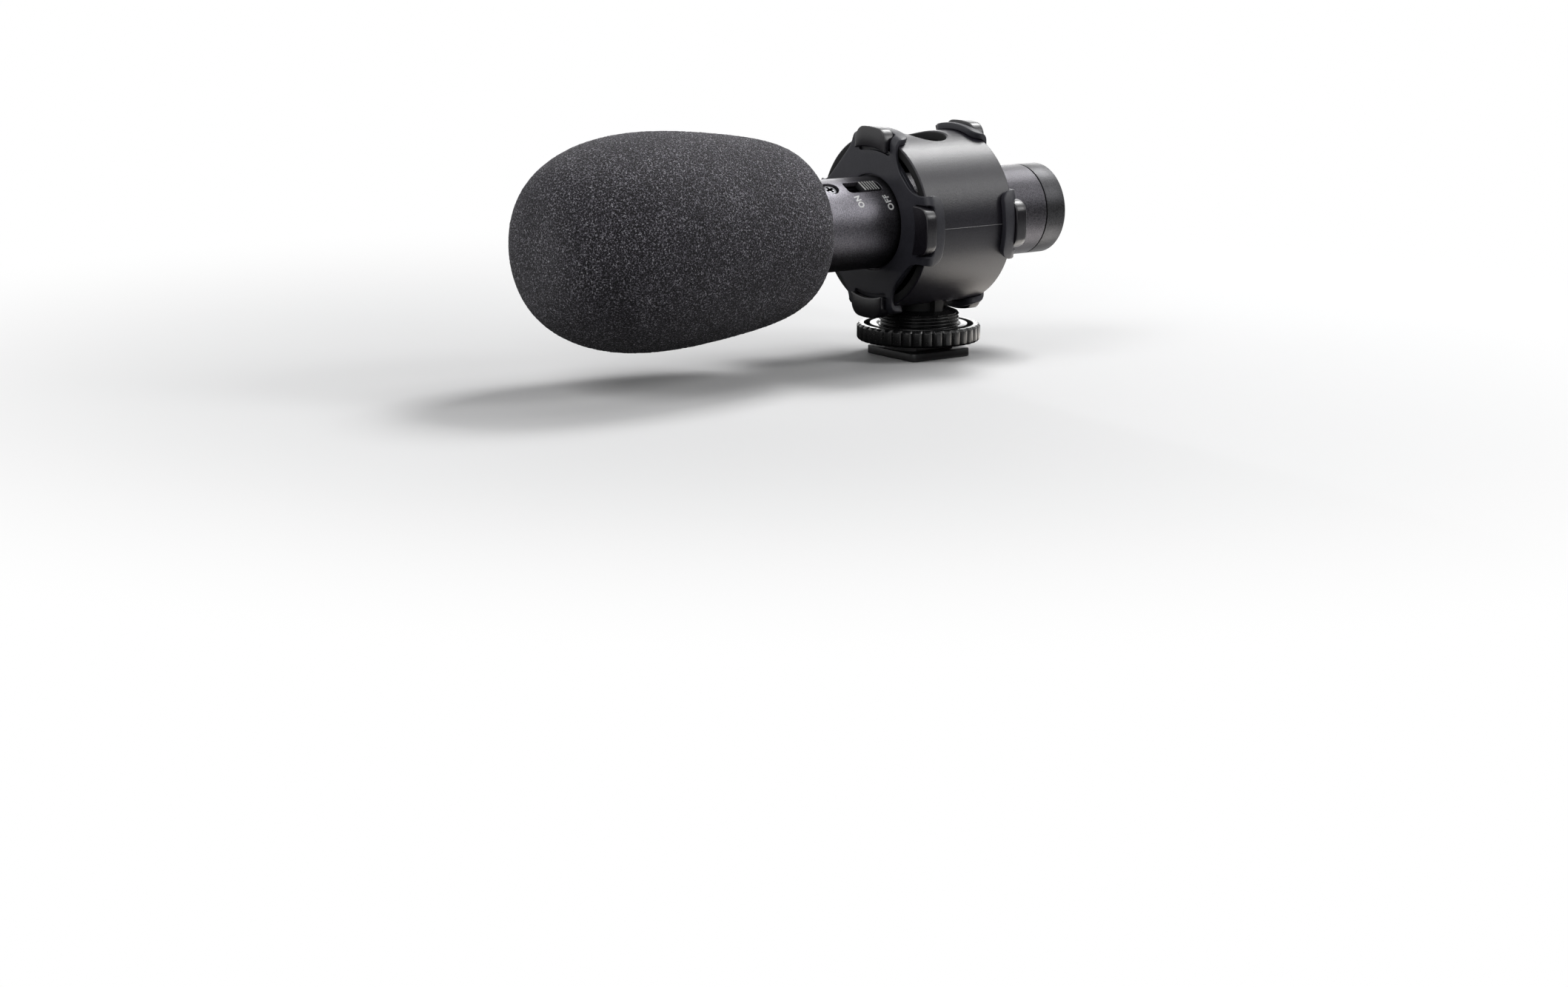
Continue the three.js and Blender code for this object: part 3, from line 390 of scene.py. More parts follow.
# Open-cell polyurethane foam, ground to shape: pores darkened as painted shade between lighter strands, a few painted
# highlights as bright glints, no gloss.
foamLook = {"cell": 0.44, "strand": 0.25, "patch": 11, "depth": 0.16,
            "stops": ((0.32, "#030304"), (0.5, "#232127"), (0.78, "#78757e"), (0.97, "#ecebf0"))}


def makeFoamFinish(look):
    material = blank(bpy.data.materials.new("openCellPolyurethane"))
    place = addNode(material, "TexCoord").outputs["Object"]
    cells = addNode(material, "TexVoronoi", {"feature": "F1", "Scale": perMetre(look["cell"])}, {"Vector": place})
    strands = addNode(material, "TexNoise", {"Scale": perMetre(look["strand"]), "Detail": 3, "Roughness": 0.7},
                      {"Vector": place})
    tone = addNode(material, "TexNoise", {"Scale": perMetre(look["patch"]), "Detail": 2}, {"Vector": place})
    edge = addNode(material, "MapRange", {"From Min": 0.15, "From Max": 0.75}, {"Value": cells})
    thread = addNode(material, "MapRange", {"From Min": 0.36, "From Max": 0.66}, {"Value": strands})
    web = addNode(material, "Mix", {0: 0.62}, {2: edge, 3: thread})
    shade = addNode(material, "Math", {"operation": "MULTIPLY_ADD", 1: 0.14, 2: -0.07}, {0: tone})
    level = addNode(material, "Math", {"operation": "ADD", "use_clamp": True}, {0: web, 1: shade})
    ramp = addNode(material, "ValToRGB", None, {"Fac": level})
    # the ramp paints shade into the pores and highlights onto the strands and their glints
    setStops(ramp, [(at, linear(colour)) for at, colour in look["stops"]])
    bump = addNode(material, "Bump", {"Strength": 1.0, "Distance": look["depth"] * mm}, {"Height": level})
    shader = addNode(material, "BsdfPrincipled", {
        "Roughness": 0.88, "IOR": 1.45, "Specular IOR Level": 0.35, "Sheen Weight": 0.12, "Sheen Roughness": 0.5},
        {"Base Color": ramp, "Normal": bump})
    addNode(material, "OutputMaterial", None, {"Surface": shader})
    return material


foamFinish = makeFoamFinish(foamLook)
print("finishes ready")


# Windscreen: an egg of foam with a rounded lip round its bore
windscreen = {"radius": 25.1, "length": 73.6, "tip": -110.1, "waves": (0.9963, -0.0277, 0.0048, -0.0387),
              "bluntness": 0.441, "facet": 0.42, "around": 400, "bore": 11.04, "boreRows": (8, 20, 34, 50),
              "boreEnd": -101.3, "lip": 1.1, "pit": 0.62, "pitDepth": 0.17, "strand": 0.4, "strandDepth": 0.102}


def windscreenProfile(look):
    # the egg's radius is a cosine series; points are kept where they are a facet apart
    half, steps = look["length"] / 2, 4000
    curve = [Vector((0, look["tip"]))]
    for step in range(1, steps):
        angle = step / steps * pi
        share = sum(level * cos(at * angle) for at, level in enumerate(look["waves"]))
        radius = look["radius"] * share * sin(angle) ** look["bluntness"]
        if step > steps / 2 and radius < look["bore"] + look["lip"]:
            break
        curve.append(Vector((radius, look["tip"] + half * (1 - cos(angle)))))
    outside = curve[:1]
    for point in curve:
        if (point - outside[-1]).length >= look["facet"]:
            outside.append(point)
    centre = Vector((look["bore"] + look["lip"], curve[-1].y - look["lip"]))
    lip = [centre + Vector((-sin(t), cos(t))) * look["lip"] for t in evenly(0, pi / 2, 5)]
    bore = [Vector((look["bore"], lip[-1].y - depth)) for depth in look["boreRows"]]
    bore += [Vector((look["bore"], look["boreEnd"])), Vector((0, look["boreEnd"]))]
    return outside + lip + bore, len(outside)


def pitted(points, count, look):
    # pores and strands as real relief on the first points, which are the outside
    made = []
    for at, point in enumerate(points):
        point = Vector(point)
        if at < count:
            away = Vector((point.x, 0, point.z - axisHeight))
            outward = away.normalized() if away.length > 1 else Vector((0, -1, 0))
            depth = look["pitDepth"] * (0.55 - noise.voronoi(point / look["pit"])[0][0])
            depth += look["strandDepth"] * noise.noise(point / look["strand"])
            point = point - outward * max(-look["pitDepth"], depth)
        made.append(point)
    return made


profile, outsideCount = windscreenProfile(windscreen)
points, faces = lathe(profile, windscreen["around"], closed=False)
points = pitted(points, 1 + (outsideCount - 1) * windscreen["around"], windscreen)
foam = addPiece("windscreen", [(points, faces)], foamFinish, "windscreen", ["windscreen_foam"], sharpest=180)
print("windscreen ready")


# Mount body: shell with a window, eight hooks, pedestal and thread
shell = {"radius": 20.7, "inner": 18.5, "front": -14.1, "rear": 12.0, "edge": 0.35, "windowX": 7.3, "windowY": 4.8,
         "windowAt": -0.5, "windowEdge": 0.6, "windowLow": 13, "paintedShadeInset": 0.3}
hook = {"half": 5.6, "outer": 23.0, "inner": 19.2, "tongue": 18.15, "tongueCorner": 0.35, "back": -0.8,
        "tongueBack": 1.2, "face": 2.3, "corner": 2.5, "edge": 0.28, "flare": 0.008}
hookTurns = {"front": (2.6, 90.4, 180, 270), "rear": (2.6, 90.6, 177.4, 270)}  # degrees from the top towards +X
pedestal = {"core": 6.0, "ribHalf": 1.25, "ribReach": 7.7, "ribEdge": 0.18, "low": 10.4, "high": 15.5}
thread = {"radius": 9.8, "depth": 0.5, "lead": 0.82, "low": 4.0, "high": 10.8, "runIn": 0.4, "coneTop": 11.4,
          "coneRadius": 8.1}
mouldLine = {"height": 0.13, "half": 0.19, "front": -13.6, "rear": 11.6}
rims = (("front", shell["front"], -1), ("rear", shell["rear"], 1))  # each end's rim, and which way is out


def roundOver(edge):
    # how far the top of a cutter rises and widens, so that it leaves a rounded edge
    return [(-edge, 0), (-edge * 0.5, edge * 0.134), (-edge * 0.134, edge * 0.5)]


def windowCutter(look):
    # a slot with round ends, cut straight down
    half, reach, edge, radius = pick(look, "windowY windowX windowEdge radius")
    outline = spaced(box(-reach, -half, reach, half, half - 0.05, 14), 0.6)

    def row(out, height):
        return [(p.x, p.y + look["windowAt"], axisHeight + height(p.x)) for p in moved(outline, -out)]

    rows = [row(0, lambda x: look["windowLow"])]
    for rise, out in roundOver(edge) + [(0.03, edge), (0.5, edge * 1.5)]:
        rows.append(row(out, lambda x: sqrt(radius ** 2 - x ** 2) + rise))
    return loft(rows + [row(edge * 2, lambda x: radius + 2)])


def makeHook(look, rim, outward, degrees):
    # a post through the ear's slot, with a head whose outer corners are well rounded, and the cutter for its neck
    half, low, outer, back, corner, blunt = pick(look, "half tongue outer back corner tongueCorner")
    outline = rounded([(-half, low, blunt), (half, low, blunt), (half, outer, corner), (-half, outer, corner)], 8)
    bar = prism(spaced(outline, 0.7), back, look["face"], look["edge"], 3)
    notch = prism(spaced(box(-half - 3, low - 2, half + 3, look["inner"]), 1.0), back - 1, look["tongueBack"])

    def bend(across, reach, out):
        across *= 1 + look["flare"] * (outer - reach)
        return across, rim + outward * out, sqrt(reach ** 2 - across ** 2)

    return [turnedAbout(placed(shape, bend), degrees) for shape in (bar, notch)]


def makeThread(look, sides=180, rowsPerMm=22):
    # a real helix, and the cone that carries the pedestal; radius 1 marks the rows that become the helix
    low, high, coneRadius, coneTop = pick(look, "low high coneRadius coneTop")
    profile = [(0, low)] + [(1, height) for height in evenly(low, high, int((high - low) * rowsPerMm))]
    profile += [(1, high + 0.001), (coneRadius, coneTop - 0.1), (coneRadius - 0.15, coneTop), (0, coneTop)]

    def swell(x, y, z):
        if not 1e-9 <= hypot(x, y) <= 2:
            return x, y, z
        angle = atan2(y, x)
        phase = ((z - low) / look["lead"] - angle / tau) % 1
        crest = 0.5 - 0.5 * cos(tau * phase)
        fade = min(1, (z - low) / look["runIn"])
        reach = look["radius"] - look["depth"] * (1 - crest ** 0.75 * max(0, fade))
        return reach * cos(angle), reach * sin(angle), z

    return placed(lathe(profile, sides, upright=True, closed=False), swell)


def makePedestal(look):
    core, half, reach, edge, low, high = pick(look, "core ribHalf ribReach ribEdge low high")
    bar = prism(box(-half, 0, half, reach), low, high, edge)
    ribs = [placed(bar, lambda x, y, z: (*quarterTurned(x, y, quarter), z)) for quarter in range(4)]
    return [disk(core, low, high, 96)] + ribs


tube = lathe(box(shell["inner"], shell["front"], shell["radius"], shell["rear"], shell["edge"]), 256)
mountShell = addPiece("mountShell", [tube], shellPlastic, "mount", ["mount_body"],
                      cuts=[[windowCutter(shell)]], roundFaces=(shell["radius"], -shell["inner"]))
mountShell.data.materials.append(roughPaintedShadePlastic)
for face in mountShell.data.polygons:  # rims and inner wall get the rough plastic, darkened as painted shade
    if hypot(face.center.x, face.center.z - axisHeight * mm) < (shell["radius"] - shell["paintedShadeInset"]) * mm:
        face.material_index = 1
hooks, notches = zip(*[makeHook(hook, rim, outward, turn) for end, rim, outward in rims for turn in hookTurns[end]])
addPiece("mountHooks", hooks, hookPlastic, "mount", cuts=[notches], sharpest=50)
# the pedestal gets the darkened plastic as painted shade
addPiece("mountPedestal", makePedestal(pedestal), roughPaintedShadePlastic, "mount")
addPiece("mountThread", [makeThread(thread)], ringPlastic, "mount", sharpest=60)
height, half, front, rear = pick(mouldLine, "height half front rear")
ridge = prism(rounded([(-half, -0.3, 0), (half, -0.3, 0), (0, height, 0)]), front, rear)
ridge = placed(ridge, lambda u, v, w: (u, w, shell["radius"] + v))
# the mould line is painted pale as a painted highlight
addPiece("mountMouldLine", [turnedAbout(ridge, side) for side in (90, -90)], paintedHighlightPlastic, "mount")
print("mount body ready")


# Diaphragms: a rubber plate on each rim, with four slotted ears folded over onto the shell
diaphragm = {"bore": 11.5, "plateBack": 0.12, "plateFace": 1.0, "strapInner": 20.78, "strapOuter": 22.4, "bend": 1.25,
             "earHalf": 8.1, "earCorner": 2.7, "chordSums": (23.33, 23.33, 25.9, 25.9), "ease": 3.2, "slotHalf": 5.95,
             "slotInner": 17.3, "slotEnd": -0.85, "slotCorner": 0.9, "edge": 0.24, "mesh": 0.8, "netReach": 27,
             "foldReach": 12, "foldSpill": 1.6,
             "webBore": 11.03, "webOuter": 11.85, "webBack": 0.14, "webFace": 0.46, "webEdge": 0.12,
             "beadInner": 15.2, "beadOuter": 18.35, "beadBack": -0.8, "beadFace": 0.3, "beadLift": 0.15}
strapEnds = {"front": (-3.7, -3.7, -3.7, -3.7), "rear": (-2.7, -3.7, -2.7, -3.7)}  # each ear's end, past the rim


def isInside(p, loop):
    hit = False
    for a, b in zip(loop, loop[1:] + loop[:1]):
        if (a.y > p.y) != (b.y > p.y) and p.x < (b.x - a.x) * (p.y - a.y) / (b.y - a.y) + a.x:
            hit = not hit
    return hit


def makePlate(look, rim, outward, turns, ends):
    bend, half, ease, edge, gap = pick(look, "bend earHalf ease edge mesh")
    back, face, under, over = pick(look, "plateBack plateFace strapInner strapOuter")
    middle, plateMiddle = (under + over) / 2, (back + face) / 2
    thin, thick = (face - back) / 2, (over - under) / 2
    arc = bend * pi / 2

    def foldStart(x):
        return sqrt(middle ** 2 - x ** 2) - bend

    def foldAt(out):
        # how far past the fold's start the middle of the strap is, at a distance out from the rim
        return arc + plateMiddle - bend - out

    def onEar(outline, quarter):
        # an outline measured from the fold's start, laid on the flat pattern
        return [quarterTurned(p.x, foldStart(p.x) + p.y, quarter) for p in outline]

    slant = ease / sqrt(2)
    shifts = [radians(angle - 90 * quarter) * middle for quarter, angle in enumerate(turns)]
    slotLow, slotHigh = look["slotInner"] - foldStart(0), foldAt(look["slotEnd"])
    slotHalf, corner, earCorner = pick(look, "slotHalf slotCorner earCorner")
    outline, holes = [], []
    for quarter, shift in enumerate(shifts):
        end, chord = foldAt(ends[quarter]), look["chordSums"][quarter]
        near, far = half + shift, half - shifts[(quarter + 1) % 4]
        ear = rounded([(shift - half, 0, 0), (shift - half, end, earCorner), (near, end, earCorner), (near, 0, 0)], 8,
                      closed=False)
        outline += onEar(spaced(ear, 0.6, closed=False), quarter)
        eased = (((near, chord - near + ease), (near, chord - near), (near + slant, chord - near - slant)),
                 ((chord - far - slant, far + slant), (chord - far, far), (chord - far + ease, far)))
        for spots in eased:  # from the ear into the opening's chord, and from the chord into the next ear
            for t in evenly(0, 1, 8):
                x, y = [a * (1 - t) ** 2 + b * 2 * t * (1 - t) + c * t ** 2 for a, b, c in zip(*spots)]
                outline.append(quarterTurned(x, y, quarter))
        left, right = shift - slotHalf, shift + slotHalf
        hole = [(x, y, corner) for x, y in ((left, slotLow), (left, slotHigh), (right, slotHigh), (right, slotLow))]
        holes.append(onEar(spaced(rounded(hole), 0.6), quarter))
    outline = spaced(outline, 0.7)
    loops = [outline] + holes + [[Vector((p.y, p.x)) for p in circle(look["bore"], 96)]]
    # all loops run clockwise, so the rubber is on the outline's right and on the holes' left
    inset = [moved(outline, -edge)] + [moved(loop, edge) for loop in loops[1:]]
    points, edges = [], []
    for loop in inset:
        numbers = list(range(len(points), len(points) + len(loop)))
        points += loop
        edges += zip(numbers, numbers[1:] + numbers[:1])

    def isRubber(p):
        return isInside(p, inset[0]) and not any(isInside(p, loop) for loop in inset[1:])

    rimPoints = list(points)
    steps = int(look["netReach"] / gap)
    for row in range(-steps, steps + 1):  # a net of points, in rows of even triangles
        for column in range(-steps, steps + 1):
            p = Vector(((column + 0.5 * (row % 2)) * gap, row * gap * 0.87))
            if isRubber(p) and min((p - q).length_squared for q in rimPoints) > (gap * 0.55) ** 2:
                points.append(p)
    flat, _, triangles, origins, _, _ = delaunay_2d_cdt(points, edges, [], 0, 1e-6)
    indexOf = {source: at for at, sources in enumerate(origins) for source in sources}
    triangles = [t for t in triangles if isRubber((flat[t[0]] + flat[t[1]] + flat[t[2]]) / 3)]

    def fold(p, level):
        # level runs from -1 on the shell's side to 1 on the outside
        quarter = max(range(4), key=lambda q: quarterTurned(p.x, p.y, -q).y)
        x, height = quarterTurned(p.x, p.y, -quarter)
        out = plateMiddle + level * thin
        past = height - foldStart(min(max(x, -look["foldReach"]), look["foldReach"]))
        if past > 0 and abs(x) <= half + look["foldSpill"]:
            share = min(1, past / arc)
            depth = level * (thin + (thick - thin) * share * share * (3 - 2 * share))
            bent, start = min(past, arc) / bend, foldStart(x)
            spread = (start + bend) * (1 + depth / middle) / (start + bend + depth)
            height = (start + (bend + depth) * sin(bent)) * (1 + share ** 2 * (spread - 1))
            out = plateMiddle - bend + (bend + depth) * cos(bent) - max(0, past - arc)
            x *= 1 + share * depth / middle
        x, height = quarterTurned(x, height, quarter)
        return x, rim + outward * out, axisHeight + height

    made = [fold(p, 1) for p in flat] + [fold(p, -1) for p in flat]
    faces = [tuple(t) for t in triangles] + [tuple(at + len(flat) for at in reversed(t)) for t in triangles]
    # the rubber's edge: round over from the outside, straight, round under to the shell's side
    spots = [(sin(t), 1 - edge / thick * (1 - cos(t))) for t in evenly(0, pi / 2, 4)[1:]]
    spots += [(out, -level) for out, level in reversed(spots)]
    start = 0
    for loop, tight in zip(loops, inset):
        rows = [[indexOf[start + at] for at in range(len(loop))]]
        for out, level in spots:
            rows.append(list(range(len(made), len(made) + len(loop))))
            made += [fold(a.lerp(b, out), level) for a, b in zip(tight, loop)]
        rows.append([at + len(flat) for at in rows[0]])
        for upper, lower in zip(rows, rows[1:]):
            faces += band(upper, lower)
        start += len(loop)
    return made, faces


def makeLip(look, rim, outward):
    # a thin lip at the back of the bore hugs the barrel
    inner, outer, back, face, edge = pick(look, "webBore webOuter webBack webFace webEdge")
    profile = rounded([(inner, back, edge), (outer, back, 0), (outer, face, 0), (inner, face, edge)])
    return lathe([(p.x, rim + outward * p.y) for p in profile])


def makeBead(look, rim, outward):
    # it runs round behind the plate, inside the shell, along the edges of the openings
    inner, outer, back, face, lift = pick(look, "beadInner beadOuter beadBack beadFace beadLift")
    profile = rounded([(inner, face, 0), (outer, face, 0.1), (outer, back, 0.25), (inner, back, 0.25)])

    def pinch(x, y, z):
        reach, angle = hypot(x, z - axisHeight), atan2(x, z - axisHeight) % tau
        chord = look["chordSums"][int(angle / (pi / 2)) % 4] / (abs(sin(angle)) + abs(cos(angle))) + lift
        reach -= max(0, outer - chord) * (reach - inner) / (outer - inner)
        return aroundBarrel(reach, angle, y)

    return placed(lathe([(p.x, rim + outward * p.y) for p in profile], 240), pinch)


for end, rim, outward in rims:
    shapes = [makePlate(diaphragm, rim, outward, hookTurns[end], strapEnds[end])]
    shapes += [makeLip(diaphragm, rim, outward), makeBead(diaphragm, rim, outward)]
    addPiece(end + "Diaphragm", shapes, rubber, "mount", [end + "_diaphragm"], sharpest=50)
print("diaphragms ready")


# Locking ring: broad ribs round the side, a deep groove in its top; and the washer under it
ring = {"radius": 15.0, "bore": 9.9, "low": 3.8, "high": 7.8, "ribs": 36, "ribDepth": 0.6, "chamfer": 0.5,
        "recess": 13.5, "recessTop": 4.5, "grooveInner": 11.85, "grooveOuter": 13.3, "grooveDepth": 1.8}
washer = (10.2, 3.6, 13.2, 4.4, 0.12)  # inner radius, underside, outer radius, top and rounded edge


def makeRing(look):
    low, high, outer, cut, bore, inner, far = pick(look, "low high radius chamfer bore grooveInner grooveOuter")
    floor = high - look["grooveDepth"]
    corners = [(bore, high - 0.4, 0.05), (bore + 0.4, high, 0.1), (inner, high, 0.1), (inner, floor, 0.08),
               (far, floor, 0.08), (far, high, 0.1), (outer - cut, high, 0.12), (outer, high - cut, 0.15),
               (outer, low + cut, 0.15), (outer - cut, low, 0.12), (look["recess"], low, 0.08),
               (look["recess"], look["recessTop"], 0.05), (bore, look["recessTop"], 0.12)]

    def rib(x, y, z):
        reach, angle = hypot(x, y), atan2(y, x)
        weight = min(1, max(0, (reach - (outer - cut - 0.35)) / (cut + 0.1)))
        valley = (1 - abs(cos(look["ribs"] / 2 * angle))) ** 1.7
        reach -= look["ribDepth"] * valley * weight
        return reach * cos(angle), reach * sin(angle), z

    return placed(lathe(rounded(corners, 3), look["ribs"] * 14, upright=True), rib)


addPiece("lockRing", [makeRing(ring)], ringPlastic, "ring", ["lock_ring"], sharpest=40)
addPiece("ringWasher", [lathe(box(*washer), 128, upright=True)], holderPlastic, "washer",
         ["ring_washer"])
print("ring ready")


# Barrel: tube with the switch slot, the screw's hole, the socket's hole and the vents
barrel = {"radius": 11.0, "inner": 9.9, "front": -98.0, "rear": 30.9, "edge": 0.12, "seat": 10.35, "seatLow": 29.95}
switchSlot = {"angle": 29.2, "front": -27.0, "rear": -16.9, "half": 2.0, "corner": 1.1, "edge": 0.16}
screw = {"angle": 27.9, "y": -31.3, "head": 1.74, "hole": 2.12, "holeEdge": 0.1, "top": 10.5, "shank": 0.9,
         "length": 3.1, "depth": 0.9, "cross": 1.15, "turn": (0.94, 0.34)}  # the cross is turned by 20 degrees
jack = {"angle": -90, "y": -26.5, "hole": (3.1, 6, 10.8), "spot": (4.6, 10.4, 13)}  # radius, low, high
vents = {"count": 6, "low": -83.7, "high": -63.7, "half": 1.0, "edge": 0.12}


def wrapCutter(outline, degrees, edge, deep=8.0):
    # a straight-sided cutter round the barrel's curve, with a rounded-over top edge
    radius = barrel["radius"]
    rows = []
    for rise, out in [(deep - radius, 0)] + roundOver(edge) + [(0.02, edge * 1.1), (1, edge * 2.2)]:
        row = [(radians(degrees) + p.x / radius, p.y) for p in moved(outline, -out)]
        rows.append([aroundBarrel(radius + rise, angle, y) for angle, y in row])
    return loft(rows)


def slotOutline(half, low, high, corner):
    return spaced(box(-half, low, half, high, corner, 6), 0.8)


def atJack(shape):
    # an upright shape, laid into the socket's place
    return turnedAbout(shifted(shape, jack["y"]), jack["angle"])


slotRim = slotOutline(*pick(switchSlot, "half front rear corner"))
tubeCutters = [wrapCutter(slotRim, switchSlot["angle"], switchSlot["edge"]),
               wrapCutter(circle(screw["hole"], 40, 0, screw["y"]), screw["angle"], screw["holeEdge"])]
vent = slotOutline(vents["half"], vents["low"], vents["high"], vents["half"] - 0.01)
tubeCutters += [wrapCutter(vent, at * 360 / vents["count"], vents["edge"]) for at in range(vents["count"])]
tubeCutters += [atJack(disk(*jack["hole"])), atJack(disk(*jack["spot"]))]
radius, inner, front, rear, edge, seat, seatLow = pick(barrel, "radius inner front rear edge seat seatLow")
tubeProfile = rounded([(inner, front, edge), (radius, front, edge), (radius, rear, edge), (seat, rear, edge),
                       (seat, seatLow, 0), (inner, seatLow, 0.05)])
# the tube's finish paints highlight on its front half and shade near and inside the mount
addPiece("barrelTube", [lathe(tubeProfile, 256)], paintedLightAnodised, "microphone", ["mic_tube"],
         cuts=[tubeCutters], sharpest=28, roundFaces=(radius, -inner))


# Switch: ridged slider in the slot, and the cross-head screw in front of it
slider = {"front": -22.3, "rear": -17.6, "half": 1.75, "low": 9.45, "top": 11.05, "ridges": 6, "grooveDepth": 0.7,
          "crestSink": 0.05, "crestLift": 0.035, "stem": (-20.9, 7.2, -19.5, 9.6), "stemHalf": 0.7}


def makeSlider(look):
    # each ridge leans towards ON, with a flat crest
    half, low, top, front, rear, ridges = pick(look, "half low top front rear ridges")
    step, floor = (rear - front) / ridges, top - look["grooveDepth"]
    corners, crests = [(front, low, 0)], []
    for ridge in range(ridges):
        at = front + ridge * step
        corners += [(at + 0.02, floor if ridge else floor - 0.4, 0.05), (at + step * 0.3, top, 0.07),
                    (at + step * 0.58, top, 0.07), (at + step * 0.92, floor, 0.05)]
        start, end = at + step * (0.27 if ridge else 0.06), at + step * 0.6
        crest = box(start, top - look["crestSink"], end, top + look["crestLift"])
        crests.append(prism(crest[::-1], -half * 0.93, half * 0.93, 0.03, 1, 2, 60))
    corners += [(rear, floor - 0.2, 0.1), (rear, low, 0)]
    bar = prism(rounded(corners[::-1], 3), -half, half, 0.05, 2, 2, 60)
    stem = prism(box(*look["stem"]), -look["stemHalf"], look["stemHalf"], 0.05, 1, 1)
    return [turnedAbout(placed(shape, lambda along, height, across: (across, along, height)), switchSlot["angle"])
            for shape in [bar, stem] + crests]


def makeScrew(look):
    # a countersunk screw about its own axis, head on top at zero, and the two cutters for its cross
    head, shank, length, cross, depth = pick(look, "head shank length cross depth")
    profile = rounded([(0, -length, 0), (shank, -length, 0.2), (shank, shank - head, 0.05), (head, -0.02, 0.06),
                       (head * 0.5, 0.02, 0.05), (0, 0.02, 0)], 3, closed=False)
    bar = prism(box(-cross, -0.2 * head, cross, 0.2 * head), -depth, 0.5)
    return [lathe(profile, 56, upright=True, closed=False), bar, placed(bar, lambda x, y, z: (y, x, z))]


def atScrew(shape):
    cosine, sine = screw["turn"]
    return turnedAbout(placed(shape, lambda x, y, z: (
        x * cosine - y * sine, screw["y"] + x * sine + y * cosine, screw["top"] + z)), screw["angle"])


sliderShapes = makeSlider(slider)
addPiece("switchSlider", sliderShapes[:2], sliderPlastic, "switch", ["switch_knob"], sharpest=40)
addPiece("switchCrests", sliderShapes[2:], paintedHighlightCrest, "switch", sharpest=40)
head, *bars = [atScrew(shape) for shape in makeScrew(screw)]
addPiece("switchScrew", [head], screwSteel, "microphone", ["switch_screw"], cuts=[[bar] for bar in bars],
         sharpest=30)
print("barrel ready")


# ON and OFF beside the switch, printed in white round the barrel: name, text, degrees from the top, y and width
words = {"places": (("wordOn", "ON", 61.3, -24.34, 1.96), ("wordOff", "OFF", 67.6, -15.9, 2.18)), "height": 2.25,
         "lean": 10, "spacing": 1.12, "boldness": 0.038, "strip": 0.1, "raised": 0.02, "sunk": 0.03}


def makeWord(look, text, degrees, front, width):
    # letters lie with their tops towards the windscreen and read up round the barrel
    curve = bpy.data.curves.new(text, "FONT")
    curve.body, curve.size, curve.resolution_u = text, 1.0, 6
    curve.space_character, curve.offset = look["spacing"], look["boldness"]
    written = addObject(text, curve)
    flat = finalMesh(written)
    bpy.data.objects.remove(written)
    bm = bmesh.new()
    bm.from_mesh(flat)
    bmesh.ops.remove_doubles(bm, verts=bm.verts, dist=1e-5)
    strips = ceil(max(v.co.x for v in bm.verts) / look["strip"])
    for strip in range(1, strips):  # narrow strips bend with the barrel
        bmesh.ops.bisect_plane(bm, geom=bm.verts[:] + bm.edges[:] + bm.faces[:], plane_co=(strip * look["strip"], 0, 0),
                               plane_no=(1, 0, 0))
    bm.verts.index_update()
    low = min(v.co.y for v in bm.verts)
    lean = Matrix.Rotation(radians(look["lean"]), 2)
    points = [lean @ Vector((v.co.x * width, (v.co.y - low) * look["height"])) for v in bm.verts]
    faces = [[v.index for v in f.verts] for f in bm.faces]
    border = [(e.verts[0].index, e.verts[1].index) for e in bm.edges if e.is_boundary]
    bm.free()
    count, radius = len(points), barrel["radius"]
    made = [aroundBarrel(reach, radians(degrees) - x / radius, front - y)
            for reach in (radius + look["raised"], radius - look["sunk"]) for x, y in points]
    faces += [[at + count for at in face] for face in faces]
    return made, faces + [(a, b, b + count, a + count) for a, b in border]


for name, *place in words["places"]:
    addPiece(name, [makeWord(words, *place)], whiteInk, "microphone", sharpest=30)
print("lettering ready")


# Output socket on the far side, with its round nut
socket = {"bodyHalf": 3.0, "bodyLength": 4.0, "low": -1.9, "top": 9.1, "room": 2.35, "neck": 2.9, "neckTop": 11.4,
          "neckLow": 7.0, "sleeve": 2.4, "bore": 1.8, "boreEnd": 2.6, "floor": 2.2}
nut = {"inner": 3.1, "outer": 4.3, "low": 10.5, "high": 11.3, "notch": 0.45, "notchDepth": 0.42}


def makeSocket(look):
    half, length, bore, end, neck, top, low, sleeve, floor = pick(
        look, "bodyHalf bodyLength bore boreEnd neck neckTop neckLow sleeve floor")
    block = prism(box(-half, -length, half, length), look["low"], look["top"], 0.25)
    profile = rounded([(0, end, 0), (bore, end, 0), (bore, top, 0.25), (neck, top, 0.2), (neck, low, 0),
                       (sleeve, low, 0), (sleeve, floor, 0), (0, floor, 0)], closed=False)
    return block, disk(look["room"], end - 0.6, 12, 40), lathe(profile, 72, upright=True, closed=False)


def makeNut(look):
    inner, outer, low, high = pick(look, "inner outer low high")
    profile = rounded([(inner, low, 0.1), (outer, low, 0.1), (outer, high, 0.22), (inner, high, 0.15)])
    bar = prism(box(inner - 0.6, -look["notch"], outer + 0.6, look["notch"]), high - look["notchDepth"], high + 1)
    return [lathe(profile, 96, upright=True), bar, placed(bar, lambda x, y, z: (-x, -y, z))]


block, room, neck = [atJack(shape) for shape in makeSocket(socket)]
addPiece("socketBlock", [block], socketPlastic, "microphone", ["jack_socket"], cuts=[[room]])
addPiece("socketNeck", [neck], socketPlastic, "microphone")
disc, *bars = [atJack(shape) for shape in makeNut(nut)]
addPiece("socketNut", [disc], nickel, "microphone", ["jack_nut"], cuts=[bars])
print("socket ready")


# Battery end: screw cap, its threaded spigot and the gasket
cap = {"radius": 11.0, "shoulder": 31.2, "end": 37.0, "edge": 0.3, "inner": 35.4, "spigot": 9.6, "spigotInner": 7.8,
       "neck": 9.05, "spigotFront": 26.9, "neckFront": 30.0}
gasket = {"radius": 9.62, "y": 30.48, "thick": 0.42}


